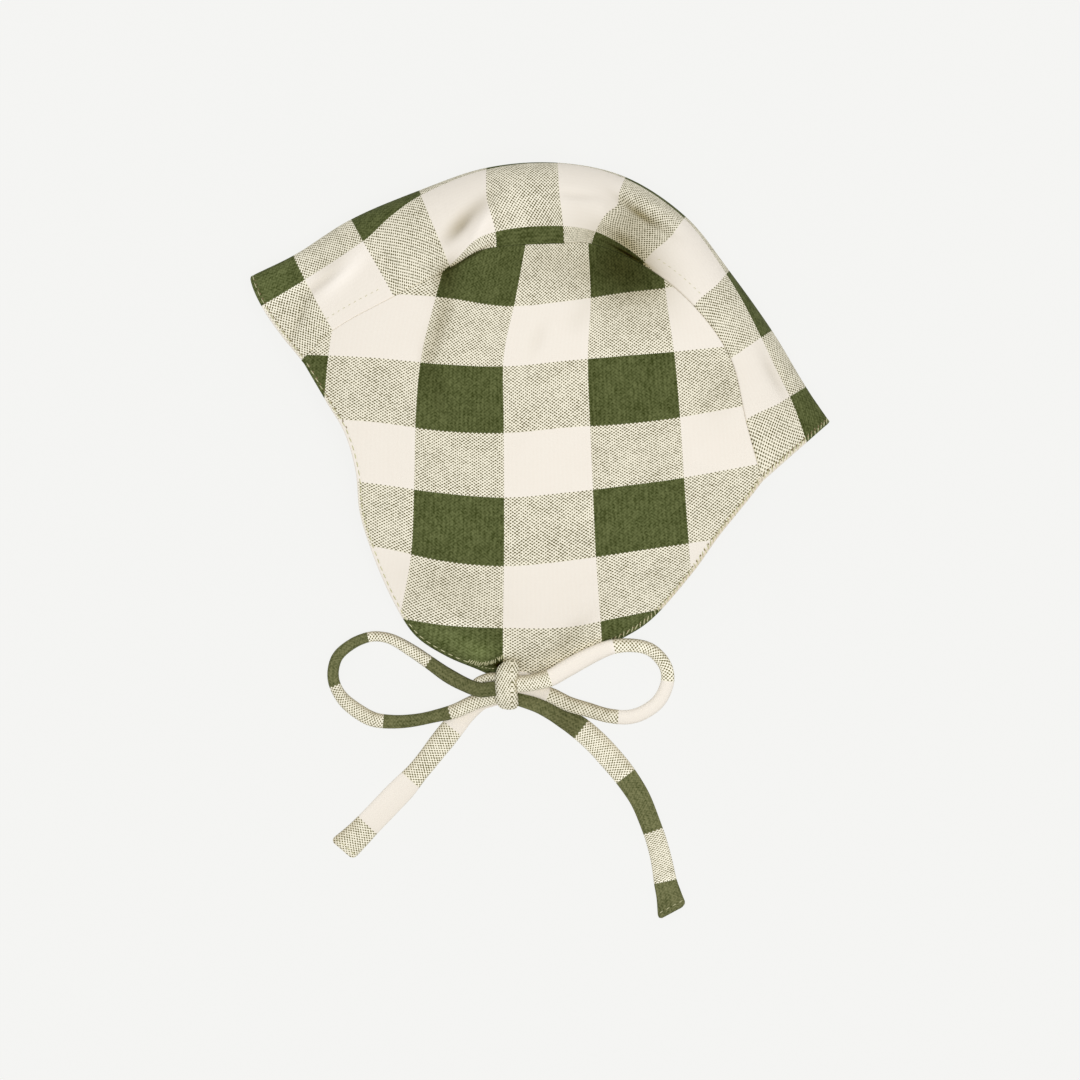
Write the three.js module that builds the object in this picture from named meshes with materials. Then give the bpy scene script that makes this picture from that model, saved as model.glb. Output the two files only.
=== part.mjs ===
import * as THREE from "three";

// A baby's aviator hat in checked jersey, put down on its right side with its ties in a bow.
// The left side is uppermost, the peak points to -X, the crown to +Y and the nape to +X.
// Sizes are in millimetres, +Z is up, and the hat lies on z = 0.

const WALL = 2.0; // jersey with its turned edges
const SEAM_GAP = 0.3; // clearance between two panels along their seam
const BAND_OFFSET = SEAM_GAP / 2;
const PANEL_OFFSET = -SEAM_GAP / 2;
const UPPER_SEAM_LEAN = 0.35; // outward tilt of the upper seam's edges, rise 1
const HALF_TURN = Math.PI / 2;
const FOLD_EASE = 0.12; // rounding of the pressed fold along the crown's middle
const SEAM_REACH = 0.02; // checks either side of a place that give its seam's direction

const GREEN = new THREE.Color(0x585e36);
const CREAM = new THREE.Color(0xf4ede3);
const MIXED = new THREE.Color(0xd3ceb8);

// Each table is a list of rows under named columns. Rows are joined by a smooth curve that
// passes through them, spaced by the first column.
function table(columns, rows) {
  return rows.map((row) => Object.fromEntries(columns.map((name, i) => [name, row[i]])));
}

function slope(rows, i, key, name) {
  const before = rows[Math.max(i - 1, 0)];
  const after = rows[Math.min(i + 1, rows.length - 1)];
  return (after[name] - before[name]) / (after[key] - before[key]);
}

function rowAt(rows, key, at) {
  let i = 0;
  while (i < rows.length - 2 && at > rows[i + 1][key]) i += 1;
  const span = rows[i + 1][key] - rows[i][key];
  const t = (at - rows[i][key]) / span;
  const result = {};
  for (const name of Object.keys(rows[i])) {
    const startPull = slope(rows, i, key, name) * span;
    const endPull = slope(rows, i + 1, key, name) * span;
    const rise = rows[i + 1][name] - rows[i][name];
    result[name] = rows[i][name] + t * (startPull
      + t * (3 * rise - 2 * startPull - endPull + t * (startPull + endPull - 2 * rise)));
  }
  return result;
}

// Crown band: one strip from the peak's edge over the crown to the nape's edge. A row stands
// at each line of the check that crosses it, and at its two hems. mid is the strip's middle,
// seam and nearZ the upper seam, farReach how much further in the lower seam lies, flat how
// far the section is pressed from an ellipse towards a straight fold, and bow how far the
// section curves along the strip.
const BAND = table(
  ["check", "midX", "midY", "midZ", "seamX", "seamY", "nearZ", "farReach", "flat", "bow"],
  [
    [-0.68, -106.6, 52.7, 15.0, -86.5, 21.4, 30.0, 1.0, 0.6, -1.8],
    [0, -90.3, 60.4, 17.0, -75.1, 32.0, 33.0, 1.02, 0.5, -0.4],
    [1, -68.9, 73.0, 20.0, -52.7, 44.0, 38.0, 1.08, 0.3, 0],
    [2, -44.2, 83.8, 22.5, -32.4, 55.2, 42.0, 1.15, 0.1, 0],
    [3, -19.4, 91.7, 24.0, -17.3, 63.0, 44.0, 1.2, 0, 0],
    [4, 6.6, 93.5, 24.0, 7.9, 62.5, 45.0, 1.2, 0, 0],
    [5, 31.4, 88.2, 24.0, 20.8, 61.8, 45.0, 1.2, 0, 0],
    [6, 53.3, 73.8, 23.5, 39.6, 53.3, 43.5, 1.2, 0.05, 0],
    [7, 68.8, 53.8, 22.0, 56.6, 39.1, 41.0, 1.2, 0.1, 0],
    [8, 85.0, 32.4, 20.0, 69.0, 21.2, 38.0, 1.15, 0.25, 0],
    [9, 97.6, 11.9, 18.0, 75.0, -2.2, 35.0, 1.05, 0.5, 0],
    [9.65, 106.5, -1.0, 16.5, 80.9, -23.1, 32.0, 1.0, 0.6, 0],
  ],
);
const PEAK_HEM = BAND[0].check;
const NAPE_HEM = BAND[BAND.length - 1].check;
const BAND_STEPS = 31; // along the strip
const SECTION_STEPS = 12; // across it, seam to seam

// Edge of the upper ear flap, from the peak's corner round the tip to the nape's corner.
const FLAP_EDGE = table(["x", "y", "z"], [
  [-86.5, 21.4, 30.0],
  [-77.8, 5.6, 29.5],
  [-71.3, -5.6, 28.8],
  [-67.4, -19.4, 27.2],
  [-66.1, -34.0, 24.2],
  [-61.9, -48.6, 19.5],
  [-55.2, -65.2, 13.0],
  [-47.0, -79.0, 7.5],
  [-35.2, -87.2, 5.2],
  [-22.6, -92.2, 4.6],
  [-12.2, -93.6, 4.6],
  [2.2, -92.0, 4.6],
  [16.7, -86.8, 4.8],
  [31.1, -80.1, 6.5],
  [42.4, -72.2, 10.0],
  [56.2, -55.9, 17.0],
  [65.0, -43.1, 23.5],
  [75.6, -29.7, 29.5],
  [80.9, -23.1, 32.0],
]);
const EDGE_STEPS = 2; // facets between two rows of the flap's edge

// The upper side panel is a membrane held at its edge and swollen from inside. It is laid
// out in rings round a middle point, at these shares of the way out to the edge.
const PANEL_MIDDLE = { x: 0, y: 0 };
const PANEL_RINGS = [0.12, 0.26, 0.4, 0.54, 0.67, 0.79, 0.9, 1];
const SWELL = 0.01; // fullness of the membrane, per mm
const SETTLE_ROUNDS = 900;

// Dents and soft folds in the upper side, each a shallow trough along one direction.
const DENTS = table(["x", "y", "turn", "length", "width", "depth"], [
  [-28.5, 71.5, 47, 9, 3.5, 2.2],
  [37.5, 75.5, -46, 11, 4.5, 2.6],
  [1.5, 34.0, 70, 9, 5.0, 1.0],
  [14.0, -79.0, 60, 14, 3.0, 0.9],
]);

// Ties: one strip folded and sewn into a flat tube, tied in a bow at the flaps' tips.
const LOOP = { width: 4.8, thick: 4.0, steps: 18 };
const TAIL = { width: 7.4, thick: 2.6, steps: 11 };
const TIE_SIDES = 8;

const LOOP_FRONT_ROUTE = [
  [-17.8, -99.2, 10.2], [-22.2, -99.6, 8.6], [-27.8, -97.7, 6.0], [-34.1, -94.4, 4.0],
  [-41.2, -89.8, 2.8], [-47.5, -85.0, 2.4], [-54.9, -80.9, 2.4], [-60.1, -79.8, 2.4],
  [-64.6, -80.2, 2.4], [-70.2, -82.8, 2.4], [-75.0, -87.3, 2.4], [-76.8, -92.8, 2.4],
  [-76.5, -98.0, 2.4], [-73.5, -103.6, 2.4], [-68.3, -108.4, 2.4], [-62.0, -111.8, 2.4],
  [-54.9, -112.1, 2.4], [-46.8, -111.0, 2.8], [-38.6, -108.7, 3.8], [-31.5, -106.8, 5.4],
  [-24.1, -103.8, 6.0], [-17.6, -102.2, 5.6],
];
const LOOP_BACK_ROUTE = [
  [-7.3, -97.3, 10.2], [-2.6, -96.8, 9.2], [3.3, -95.4, 8.2], [9.2, -92.4, 7.8],
  [16.3, -88.8, 7.8], [22.5, -85.6, 8.4], [27.7, -83.8, 8.8], [34.0, -83.2, 7.4],
  [40.4, -84.6, 4.8], [44.9, -88.4, 2.8], [47.5, -92.8, 2.4], [47.5, -98.0, 2.4],
  [44.2, -104.3, 2.4], [38.6, -108.4, 2.4], [32.7, -110.3, 2.4], [25.2, -110.3, 2.6],
  [18.2, -108.0, 3.6], [10.7, -105.3, 4.8], [4.4, -102.3, 5.4], [-1.1, -100.7, 5.4],
  [-7.6, -100.1, 5.2],
];
const TAIL_FRONT_ROUTE = [
  [-17.5, -103.0, 1.6], [-22.3, -104.4, 1.6], [-27.9, -108.8, 1.6], [-32.3, -114.8, 1.6],
  [-36.8, -120.7, 1.6], [-42.3, -127.0, 1.6], [-47.9, -133.7, 1.6], [-55.3, -140.0, 1.6],
  [-61.7, -146.3, 1.6], [-66.9, -152.3, 1.6], [-73.2, -158.8, 1.6],
];
const TAIL_BACK_ROUTE = [
  [-7.7, -102.6, 1.6], [0.0, -105.6, 1.6], [8.2, -110.1, 1.6], [15.2, -114.8, 1.6],
  [23.4, -122.6, 1.6], [31.9, -131.9, 1.6], [37.5, -140.4, 1.6], [42.0, -152.3, 1.6],
  [44.6, -161.2, 1.6], [46.8, -170.9, 1.6], [48.1, -176.8, 1.6], [49.4, -182.4, 1.6],
];

// Knot: a lump lofted along Y, whose upper end leans over the flap's tip.
const KNOT_X = -12.6;
const KNOT_SIDES = 12;
const KNOT_ROUNDING = 0.75; // power of the sections, 1 for an ellipse
const KNOT = table(["y", "half", "low", "high"], [
  [-89.3, 1.2, 7.8, 8.8],
  [-90.4, 3.0, 6.9, 10.6],
  [-92.2, 4.0, 6.0, 11.8],
  [-93.95, 4.3, 5.2, 12.4],
  [-94.1, 4.3, 0.6, 12.4],
  [-98.0, 4.4, 0.4, 12.6],
  [-102.5, 4.4, 0.4, 11.4],
  [-105.5, 3.8, 0.6, 8.4],
  [-106.9, 2.0, 2.4, 5.6],
]);

const range = (count) => Array.from({ length: count }, (unused, i) => i);

// Band geometry: a point for a place along the strip and a side from -1, the lower seam,
// through 0, the middle, to 1, the upper seam.
function bandPoint(check, side) {
  const row = rowAt(BAND, "check", check);
  const turn = Math.abs(side);
  const eased = Math.hypot(turn, FOLD_EASE) - FOLD_EASE;
  const easedWhole = Math.hypot(1, FOLD_EASE) - FOLD_EASE;
  const plan = (1 - row.flat) * (1 - Math.cos(turn * HALF_TURN)) + row.flat * eased / easedWhole;
  const rise = (1 - row.flat) * Math.sin(turn * HALF_TURN) + row.flat * turn;
  const inward = new THREE.Vector3(row.seamX - row.midX, row.seamY - row.midY, 0);
  const along = new THREE.Vector3(-inward.y, inward.x, 0).normalize();
  const point = new THREE.Vector3(row.midX, row.midY, 0);
  point.addScaledVector(inward, plan * (side > 0 ? 1 : row.farReach));
  point.addScaledVector(along, row.bow * Math.sin(Math.PI * turn));
  point.z = side > 0 ? row.midZ + (row.nearZ - row.midZ) * rise : row.midZ * (1 - rise);
  return point;
}

// Each seam is cut square to the cloth: normal points out of the hat, and apart is the
// direction across the seam from the side panel to the band.
function seamFrame(check, side) {
  const before = bandPoint(Math.max(check - SEAM_REACH, PEAK_HEM), side);
  const after = bandPoint(Math.min(check + SEAM_REACH, NAPE_HEM), side);
  const tangent = after.sub(before).normalize();
  const outward = bandPoint(check, 0).sub(bandPoint(check, side)).setZ(0).normalize();
  const lean = side > 0 ? UPPER_SEAM_LEAN : 0;
  const normal = outward.clone().multiplyScalar(lean).add(new THREE.Vector3(0, 0, Math.sign(side)));
  normal.addScaledVector(tangent, -normal.dot(tangent)).normalize();
  const apart = new THREE.Vector3().crossVectors(tangent, normal);
  if (apart.dot(outward) < 0) apart.negate();
  return { normal, apart };
}

// The edge of one panel at a seam: the band keeps off it by half the gap, and the side
// panel by as much the other way.
function seamPoint(check, side, offset) {
  return bandPoint(check, side).addScaledVector(seamFrame(check, side).apart, offset);
}

const bandStations = range(BAND_STEPS + 1).map(
  (i) => PEAK_HEM + (NAPE_HEM - PEAK_HEM) * i / BAND_STEPS,
);

function dentDepth(point) {
  let depth = 0;
  for (const dent of DENTS) {
    const turn = THREE.MathUtils.degToRad(dent.turn);
    const dx = point.x - dent.x;
    const dy = point.y - dent.y;
    const along = (dx * Math.cos(turn) + dy * Math.sin(turn)) / dent.length;
    const across = (dy * Math.cos(turn) - dx * Math.sin(turn)) / dent.width;
    depth += dent.depth * Math.exp(-along * along - across * across);
  }
  return depth;
}

// Vertex normals of an open sheet, from the faces around each vertex.
function sheetNormals(points, faces) {
  const normals = points.map(() => new THREE.Vector3());
  for (const [a, b, c] of faces) {
    const edge = points[b].clone().sub(points[a]);
    const normal = edge.cross(points[c].clone().sub(points[a]));
    for (const corner of [a, b, c]) normals[corner].add(normal);
  }
  return normals.map((normal) => normal.normalize());
}

// Gives a sheet its thickness: the outer face, the inner face and a rim round the border.
function thicken(points, faces, border, rimNormals) {
  const normals = sheetNormals(points, faces);
  for (const [corner, normal] of rimNormals) normals[corner] = normal;
  const inner = points.map((point, i) => point.clone().addScaledVector(normals[i], -WALL));
  const count = points.length;
  const triangles = [...faces, ...faces.map(([a, b, c]) => [a + count, c + count, b + count])];
  border.forEach((from, i) => {
    const to = border[(i + 1) % border.length];
    triangles.push([to, from, from + count], [to, from + count, to + count]);
  });
  return solid([...points, ...inner], triangles);
}

function solid(points, triangles) {
  const geometry = new THREE.BufferGeometry();
  const positions = points.flatMap((point) => point.toArray());
  geometry.setAttribute("position", new THREE.Float32BufferAttribute(positions, 3));
  geometry.setIndex(triangles.flat());
  geometry.computeVertexNormals();
  return geometry;
}

function crownBand() {
  const across = SECTION_STEPS + 1;
  const index = (i, j) => i * across + j;
  const points = [];
  for (const check of bandStations) {
    for (const j of range(across)) {
      const side = -1 + 2 * j / SECTION_STEPS;
      const atSeam = Math.abs(side) === 1;
      points.push(atSeam ? seamPoint(check, side, BAND_OFFSET) : bandPoint(check, side));
    }
  }
  const faces = [];
  for (const i of range(BAND_STEPS)) {
    for (const j of range(SECTION_STEPS)) {
      faces.push([index(i, j), index(i, j + 1), index(i + 1, j + 1)]);
      faces.push([index(i, j), index(i + 1, j + 1), index(i + 1, j)]);
    }
  }
  const normals = sheetNormals(points, faces);
  const dented = points.map((point, i) => {
    const facingUp = Math.max(normals[i].z, 0);
    return point.clone().addScaledVector(normals[i], -dentDepth(point) * facingUp);
  });
  const rims = bandStations.flatMap((check, i) => [
    [index(i, 0), seamFrame(check, -1).normal],
    [index(i, SECTION_STEPS), seamFrame(check, 1).normal],
  ]);
  const border = [
    ...range(SECTION_STEPS).map((j) => index(0, j)),
    ...range(BAND_STEPS).map((i) => index(i, SECTION_STEPS)),
    ...range(SECTION_STEPS).map((j) => index(BAND_STEPS, SECTION_STEPS - j)),
    ...range(BAND_STEPS).map((i) => index(BAND_STEPS - i, 0)),
  ];
  return thicken(dented, faces, border, rims);
}

// Flap edge between the two corners, from the nape back to the peak, corners left out.
function flapEdge() {
  const rows = FLAP_EDGE.map((row, i) => ({ ...row, step: i }));
  const last = rows.length - 1;
  const count = last * EDGE_STEPS;
  return range(count - 1).map((i) => {
    const row = rowAt(rows, "step", last - (i + 1) / EDGE_STEPS);
    return new THREE.Vector3(row.x, row.y, row.z);
  });
}

// Heights of the swollen panel: each point settles where the pull of its neighbours, by how
// near they are and how wide the cloth between them is, carries the swell of its own area.
function settle(points, around) {
  const rings = PANEL_RINGS.length;
  const at = (ring, k) => points[ring < 0 ? 0 : 1 + ring * around + (k + around) % around];
  const flat = (a, b) => Math.hypot(a.x - b.x, a.y - b.y);
  const cells = [];
  for (const ring of range(rings - 1)) {
    for (const k of range(around)) {
      const [point, inside, outside] = [at(ring, k), at(ring - 1, k), at(ring + 1, k)];
      const [before, after] = [at(ring, k - 1), at(ring, k + 1)];
      const [stepIn, stepOut] = [flat(point, inside), flat(point, outside)];
      const width = (flat(point, before) + flat(point, after)) / 2;
      const depth = (stepIn + stepOut) / 2;
      const share = PANEL_RINGS[ring];
      const innerShare = ring > 0 ? PANEL_RINGS[ring - 1] : 0;
      const widthIn = width * (share + innerShare) / (2 * share);
      const widthOut = width * (share + PANEL_RINGS[ring + 1]) / (2 * share);
      const pulls = [
        [inside, widthIn / stepIn],
        [outside, widthOut / stepOut],
        [before, depth / flat(point, before)],
        [after, depth / flat(point, after)],
      ];
      const total = pulls.reduce((sum, [, pull]) => sum + pull, 0);
      cells.push({ point, pulls, total, swell: SWELL * width * depth });
    }
  }
  const firstRing = range(around).map((k) => at(0, k));
  for (let round = 0; round < SETTLE_ROUNDS; round += 1) {
    for (const { point, pulls, total, swell } of cells) {
      point.z = (pulls.reduce((sum, [near, pull]) => sum + pull * near.z, 0) + swell) / total;
    }
    points[0].z = firstRing.reduce((sum, point) => sum + point.z, 0) / around;
  }
}

function sidePanelLeft() {
  const outline = [...bandStations.map((check) => seamPoint(check, 1, PANEL_OFFSET)), ...flapEdge()];
  const around = outline.length;
  const middle = new THREE.Vector3(PANEL_MIDDLE.x, PANEL_MIDDLE.y, 0);
  const points = [middle];
  for (const share of PANEL_RINGS) {
    for (const edge of outline) {
      points.push(new THREE.Vector3().lerpVectors(middle, edge, share));
    }
  }
  settle(points, around);
  const rim = PANEL_RINGS.length - 1;
  const index = (ring, k) => 1 + ring * around + k % around;
  for (const point of points.slice(0, index(rim, 0))) point.z -= dentDepth(point);
  const faces = [];
  for (const k of range(around)) {
    faces.push([0, index(0, k + 1), index(0, k)]);
    for (const ring of range(rim)) {
      faces.push([index(ring, k), index(ring, k + 1), index(ring + 1, k + 1)]);
      faces.push([index(ring, k), index(ring + 1, k + 1), index(ring + 1, k)]);
    }
  }
  const rims = bandStations.map((check, k) => [index(rim, k), seamFrame(check, 1).normal]);
  return thicken(points, faces, range(around).map((k) => index(rim, around - k)), rims);
}

// The lower side panel is the one the hat lies on, so it is flat.
function sidePanelRight() {
  const outline = [...bandStations.map((check) => seamPoint(check, -1, PANEL_OFFSET)), ...flapEdge()];
  const shape = new THREE.Shape(outline.map((point) => new THREE.Vector2(point.x, point.y)));
  return new THREE.ExtrudeGeometry(shape, { depth: WALL, bevelEnabled: false });
}

function ellipse(thick, width) {
  return new THREE.Shape(range(TIE_SIDES).map((i) => {
    const turn = 2 * Math.PI * i / TIE_SIDES;
    return new THREE.Vector2(Math.cos(turn) * thick / 2, Math.sin(turn) * width / 2);
  }));
}

function tie(route, size) {
  const path = new THREE.CatmullRomCurve3(route.map((point) => new THREE.Vector3(...point)));
  const options = { steps: size.steps, extrudePath: path, bevelEnabled: false };
  return new THREE.ExtrudeGeometry(ellipse(size.thick, size.width), options);
}

function knot() {
  const points = [];
  for (const row of KNOT) {
    const middle = (row.low + row.high) / 2;
    for (const k of range(KNOT_SIDES)) {
      const turn = 2 * Math.PI * k / KNOT_SIDES;
      const bulge = (value) => Math.sign(value) * Math.abs(value) ** KNOT_ROUNDING;
      const x = KNOT_X + row.half * bulge(Math.cos(turn));
      const z = middle + (row.high - row.low) / 2 * bulge(Math.sin(turn));
      points.push(new THREE.Vector3(x, row.y, z));
    }
  }
  const index = (ring, k) => ring * KNOT_SIDES + k % KNOT_SIDES;
  const last = KNOT.length - 1;
  const triangles = [];
  for (const k of range(KNOT_SIDES)) {
    for (const ring of range(last)) {
      triangles.push([index(ring, k), index(ring, k + 1), index(ring + 1, k + 1)]);
      triangles.push([index(ring, k), index(ring + 1, k + 1), index(ring + 1, k)]);
    }
  }
  for (const k of range(KNOT_SIDES - 2)) {
    triangles.push([index(0, 0), index(0, k + 2), index(0, k + 1)]);
    triangles.push([index(last, 0), index(last, k + 1), index(last, k + 2)]);
  }
  return solid(points, triangles);
}

const PIECES = [
  ["crown_band", crownBand(), MIXED],
  ["side_panel_left", sidePanelLeft(), CREAM],
  ["side_panel_right", sidePanelRight(), CREAM],
  ["tie_knot", knot(), MIXED],
  ["tie_loop_front", tie(LOOP_FRONT_ROUTE, LOOP), GREEN],
  ["tie_loop_back", tie(LOOP_BACK_ROUTE, LOOP), CREAM],
  ["tie_tail_front", tie(TAIL_FRONT_ROUTE, TAIL), CREAM],
  ["tie_tail_back", tie(TAIL_BACK_ROUTE, TAIL), GREEN],
];

const hat = new THREE.Group();
for (const [name, geometry, color] of PIECES) {
  const cloth = new THREE.MeshStandardMaterial({ color, roughness: 0.9, metalness: 0 });
  const mesh = new THREE.Mesh(geometry, cloth);
  mesh.name = name;
  hat.add(mesh);
}

export default hat;
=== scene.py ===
"""The looks of a baby's aviator hat of check jersey, which lies on its right side with its ties in a bow."""

import math

import bmesh
import bpy
import numpy as np
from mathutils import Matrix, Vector


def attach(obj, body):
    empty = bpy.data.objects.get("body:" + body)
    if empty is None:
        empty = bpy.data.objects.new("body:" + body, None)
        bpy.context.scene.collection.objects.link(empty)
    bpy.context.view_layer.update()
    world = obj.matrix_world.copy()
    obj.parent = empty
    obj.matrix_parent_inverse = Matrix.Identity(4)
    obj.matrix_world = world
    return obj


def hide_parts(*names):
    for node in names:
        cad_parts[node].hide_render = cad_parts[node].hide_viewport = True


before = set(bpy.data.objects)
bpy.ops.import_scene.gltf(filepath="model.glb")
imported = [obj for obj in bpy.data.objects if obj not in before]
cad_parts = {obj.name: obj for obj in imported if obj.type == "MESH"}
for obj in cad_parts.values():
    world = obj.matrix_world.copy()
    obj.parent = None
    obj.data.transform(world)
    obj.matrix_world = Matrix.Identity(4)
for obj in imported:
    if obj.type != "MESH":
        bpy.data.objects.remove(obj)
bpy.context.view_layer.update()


# The view
# The photograph looks straight down on the hat through a long lens, with the crown towards the top
# of the picture and the peak on its left. One pixel of its 1080 is 0.37 mm at the hat's mid height.

PHOTO_PIXELS = 1080
PIXEL_SIZE = 0.3663e-3
LENS, SENSOR = 120.0, 36.0
SHARP_HEIGHT = 0.020
VIEW_CENTRE = (0.0, -0.0442)

camera = bpy.data.objects.new("camera", bpy.data.cameras.new("camera"))
camera.data.lens = LENS
camera.data.sensor_width = SENSOR
camera.location = (*VIEW_CENTRE, SHARP_HEIGHT + LENS / SENSOR * PHOTO_PIXELS * PIXEL_SIZE)
bpy.context.scene.collection.objects.link(camera)
bpy.context.scene.camera = camera


# The ties
# Each ear flap ends in a tie, a strip of the hat's own jersey that is folded lengthwise and sewn, with a raw
# end folded in. In the bow it rolls to a soft strand about 5 mm thick, and its free end lies flat. The jersey
# is a fine knit of two colours: olive and cream squares, with squares of both yarns in turn between them.

CHECK_WIDTH, CHECK_HEIGHT = 0.032, 0.024
WALES_PER_CHECK, COURSES_PER_CHECK = 42, 43
CREAM = (0.905, 0.848, 0.765, 1)
CREAM_SHADE = (0.872, 0.808, 0.715, 1)
MIX_CREAM = (0.930, 0.880, 0.720, 1)
OLIVE = (0.036, 0.046, 0.008, 1)
OLIVE_WORN = (0.150, 0.169, 0.064, 1)
OLIVE_STRETCHED = (0.192, 0.192, 0.087, 1)
OLIVE_DASH = (0.128, 0.112, 0.042, 1)
OLIVE_DASH_STRETCHED = (0.172, 0.156, 0.066, 1)
# How painted shade darkens each channel of the colour, blue the most.
PAINTED_SHADE_TINT = (-0.98, -1.04, -1.22)
HEM_CREAM = (0.900, 0.835, 0.760, 1)
# The beige of the hems, also used as painted shade on the ties' shaded flanks.
HEM_AND_SHADE_BEIGE = (0.700, 0.600, 0.430, 1)

# What makes the knit uneven, on a map that counts stitches: scale, detail and roughness of three noises, how
# the fibres are drawn out along a wale, and how far a stitch's loop arches over its course.
PATCH_NOISE, FIBRE_NOISE, LINT_NOISE = (0.06, 2.0, 0.6), (1.0, 3.0, 0.65), (1.7, 2.0, 0.7)
FIBRE_STRETCH = (0.9, 0.12)
LOOP_ARCH = 1.1

# The tone of each yarn, and how much the ribs, patches, stitches, slants, fibres and lint add to it.
CREAM_TONE, CREAM_RIB, CREAM_PATCH = 0.15, 0.10, 0.5
DASH_TONE, DASH_STITCH, DASH_PATCH = -0.475, 0.45, 0.5
DASH_EDGE = (-0.02, 0.42)
OLIVE_TONE, OLIVE_RIB, OLIVE_PATCH, OLIVE_STITCH = -0.80, 0.10, 0.5, 0.50
OLIVE_SLANT, OLIVE_FIBRE, OLIVE_LINT = 0.20, 1.05, 0.50
HEM_PALING = 0.6
BEAD_RELIEF, LINT_RELIEF, STITCH_RELIEF = 0.25, 0.6, 0.00010


def add_node(tree, kind, values=(), **settings):
    """One node with its settings, fed in order by sockets or plain values. Returns its first output."""
    made = tree.nodes.new(kind)
    for key, value in settings.items():
        setattr(made, key, value)
    for socket, value in zip(made.inputs, values):
        if isinstance(value, bpy.types.NodeSocket):
            tree.links.new(value, socket)
        elif value is not None:
            socket.default_value = value
    return made.outputs[0]


def reckon(tree, operation, *values):
    return add_node(tree, "ShaderNodeMath", values, operation=operation)


def add_up(tree, start, *parts):
    """The start, plus each part's value times its weight."""
    total = start
    for value, weight in parts:
        total = reckon(tree, "MULTIPLY_ADD", value, weight, total)
    return total


def blend_colours(tree, share, low, high):
    mixed = tree.nodes.new("ShaderNodeMix")
    mixed.data_type = "RGBA"
    for socket, value in ((mixed.inputs[0], share), (mixed.inputs[6], low), (mixed.inputs[7], high)):
        if isinstance(value, bpy.types.NodeSocket):
            tree.links.new(value, socket)
        else:
            socket.default_value = value
    return mixed.outputs[2]


def soft_step(tree, value, start, end):
    values = (value, start, end, 0.0, 1.0)
    return add_node(tree, "ShaderNodeMapRange", values, interpolation_type="SMOOTHSTEP")


def stored(tree, mark):
    """A mark on the cloth's points: how far it fades, turns beige, or has shade or light painted on it."""
    return add_node(tree, "ShaderNodeAttribute", attribute_name=mark).node.outputs[2]


def square_of(tree, stitch_count, stitches_per_check):
    """The number of the check's column or row in which a stitch lies."""
    middle = reckon(tree, "ADD", stitch_count, 0.5)
    return reckon(tree, "FLOOR", reckon(tree, "DIVIDE", middle, stitches_per_check))


def is_odd(tree, number):
    return reckon(tree, "MULTIPLY", reckon(tree, "FRACT", reckon(tree, "MULTIPLY", number, 0.5)), 2.0)


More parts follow.
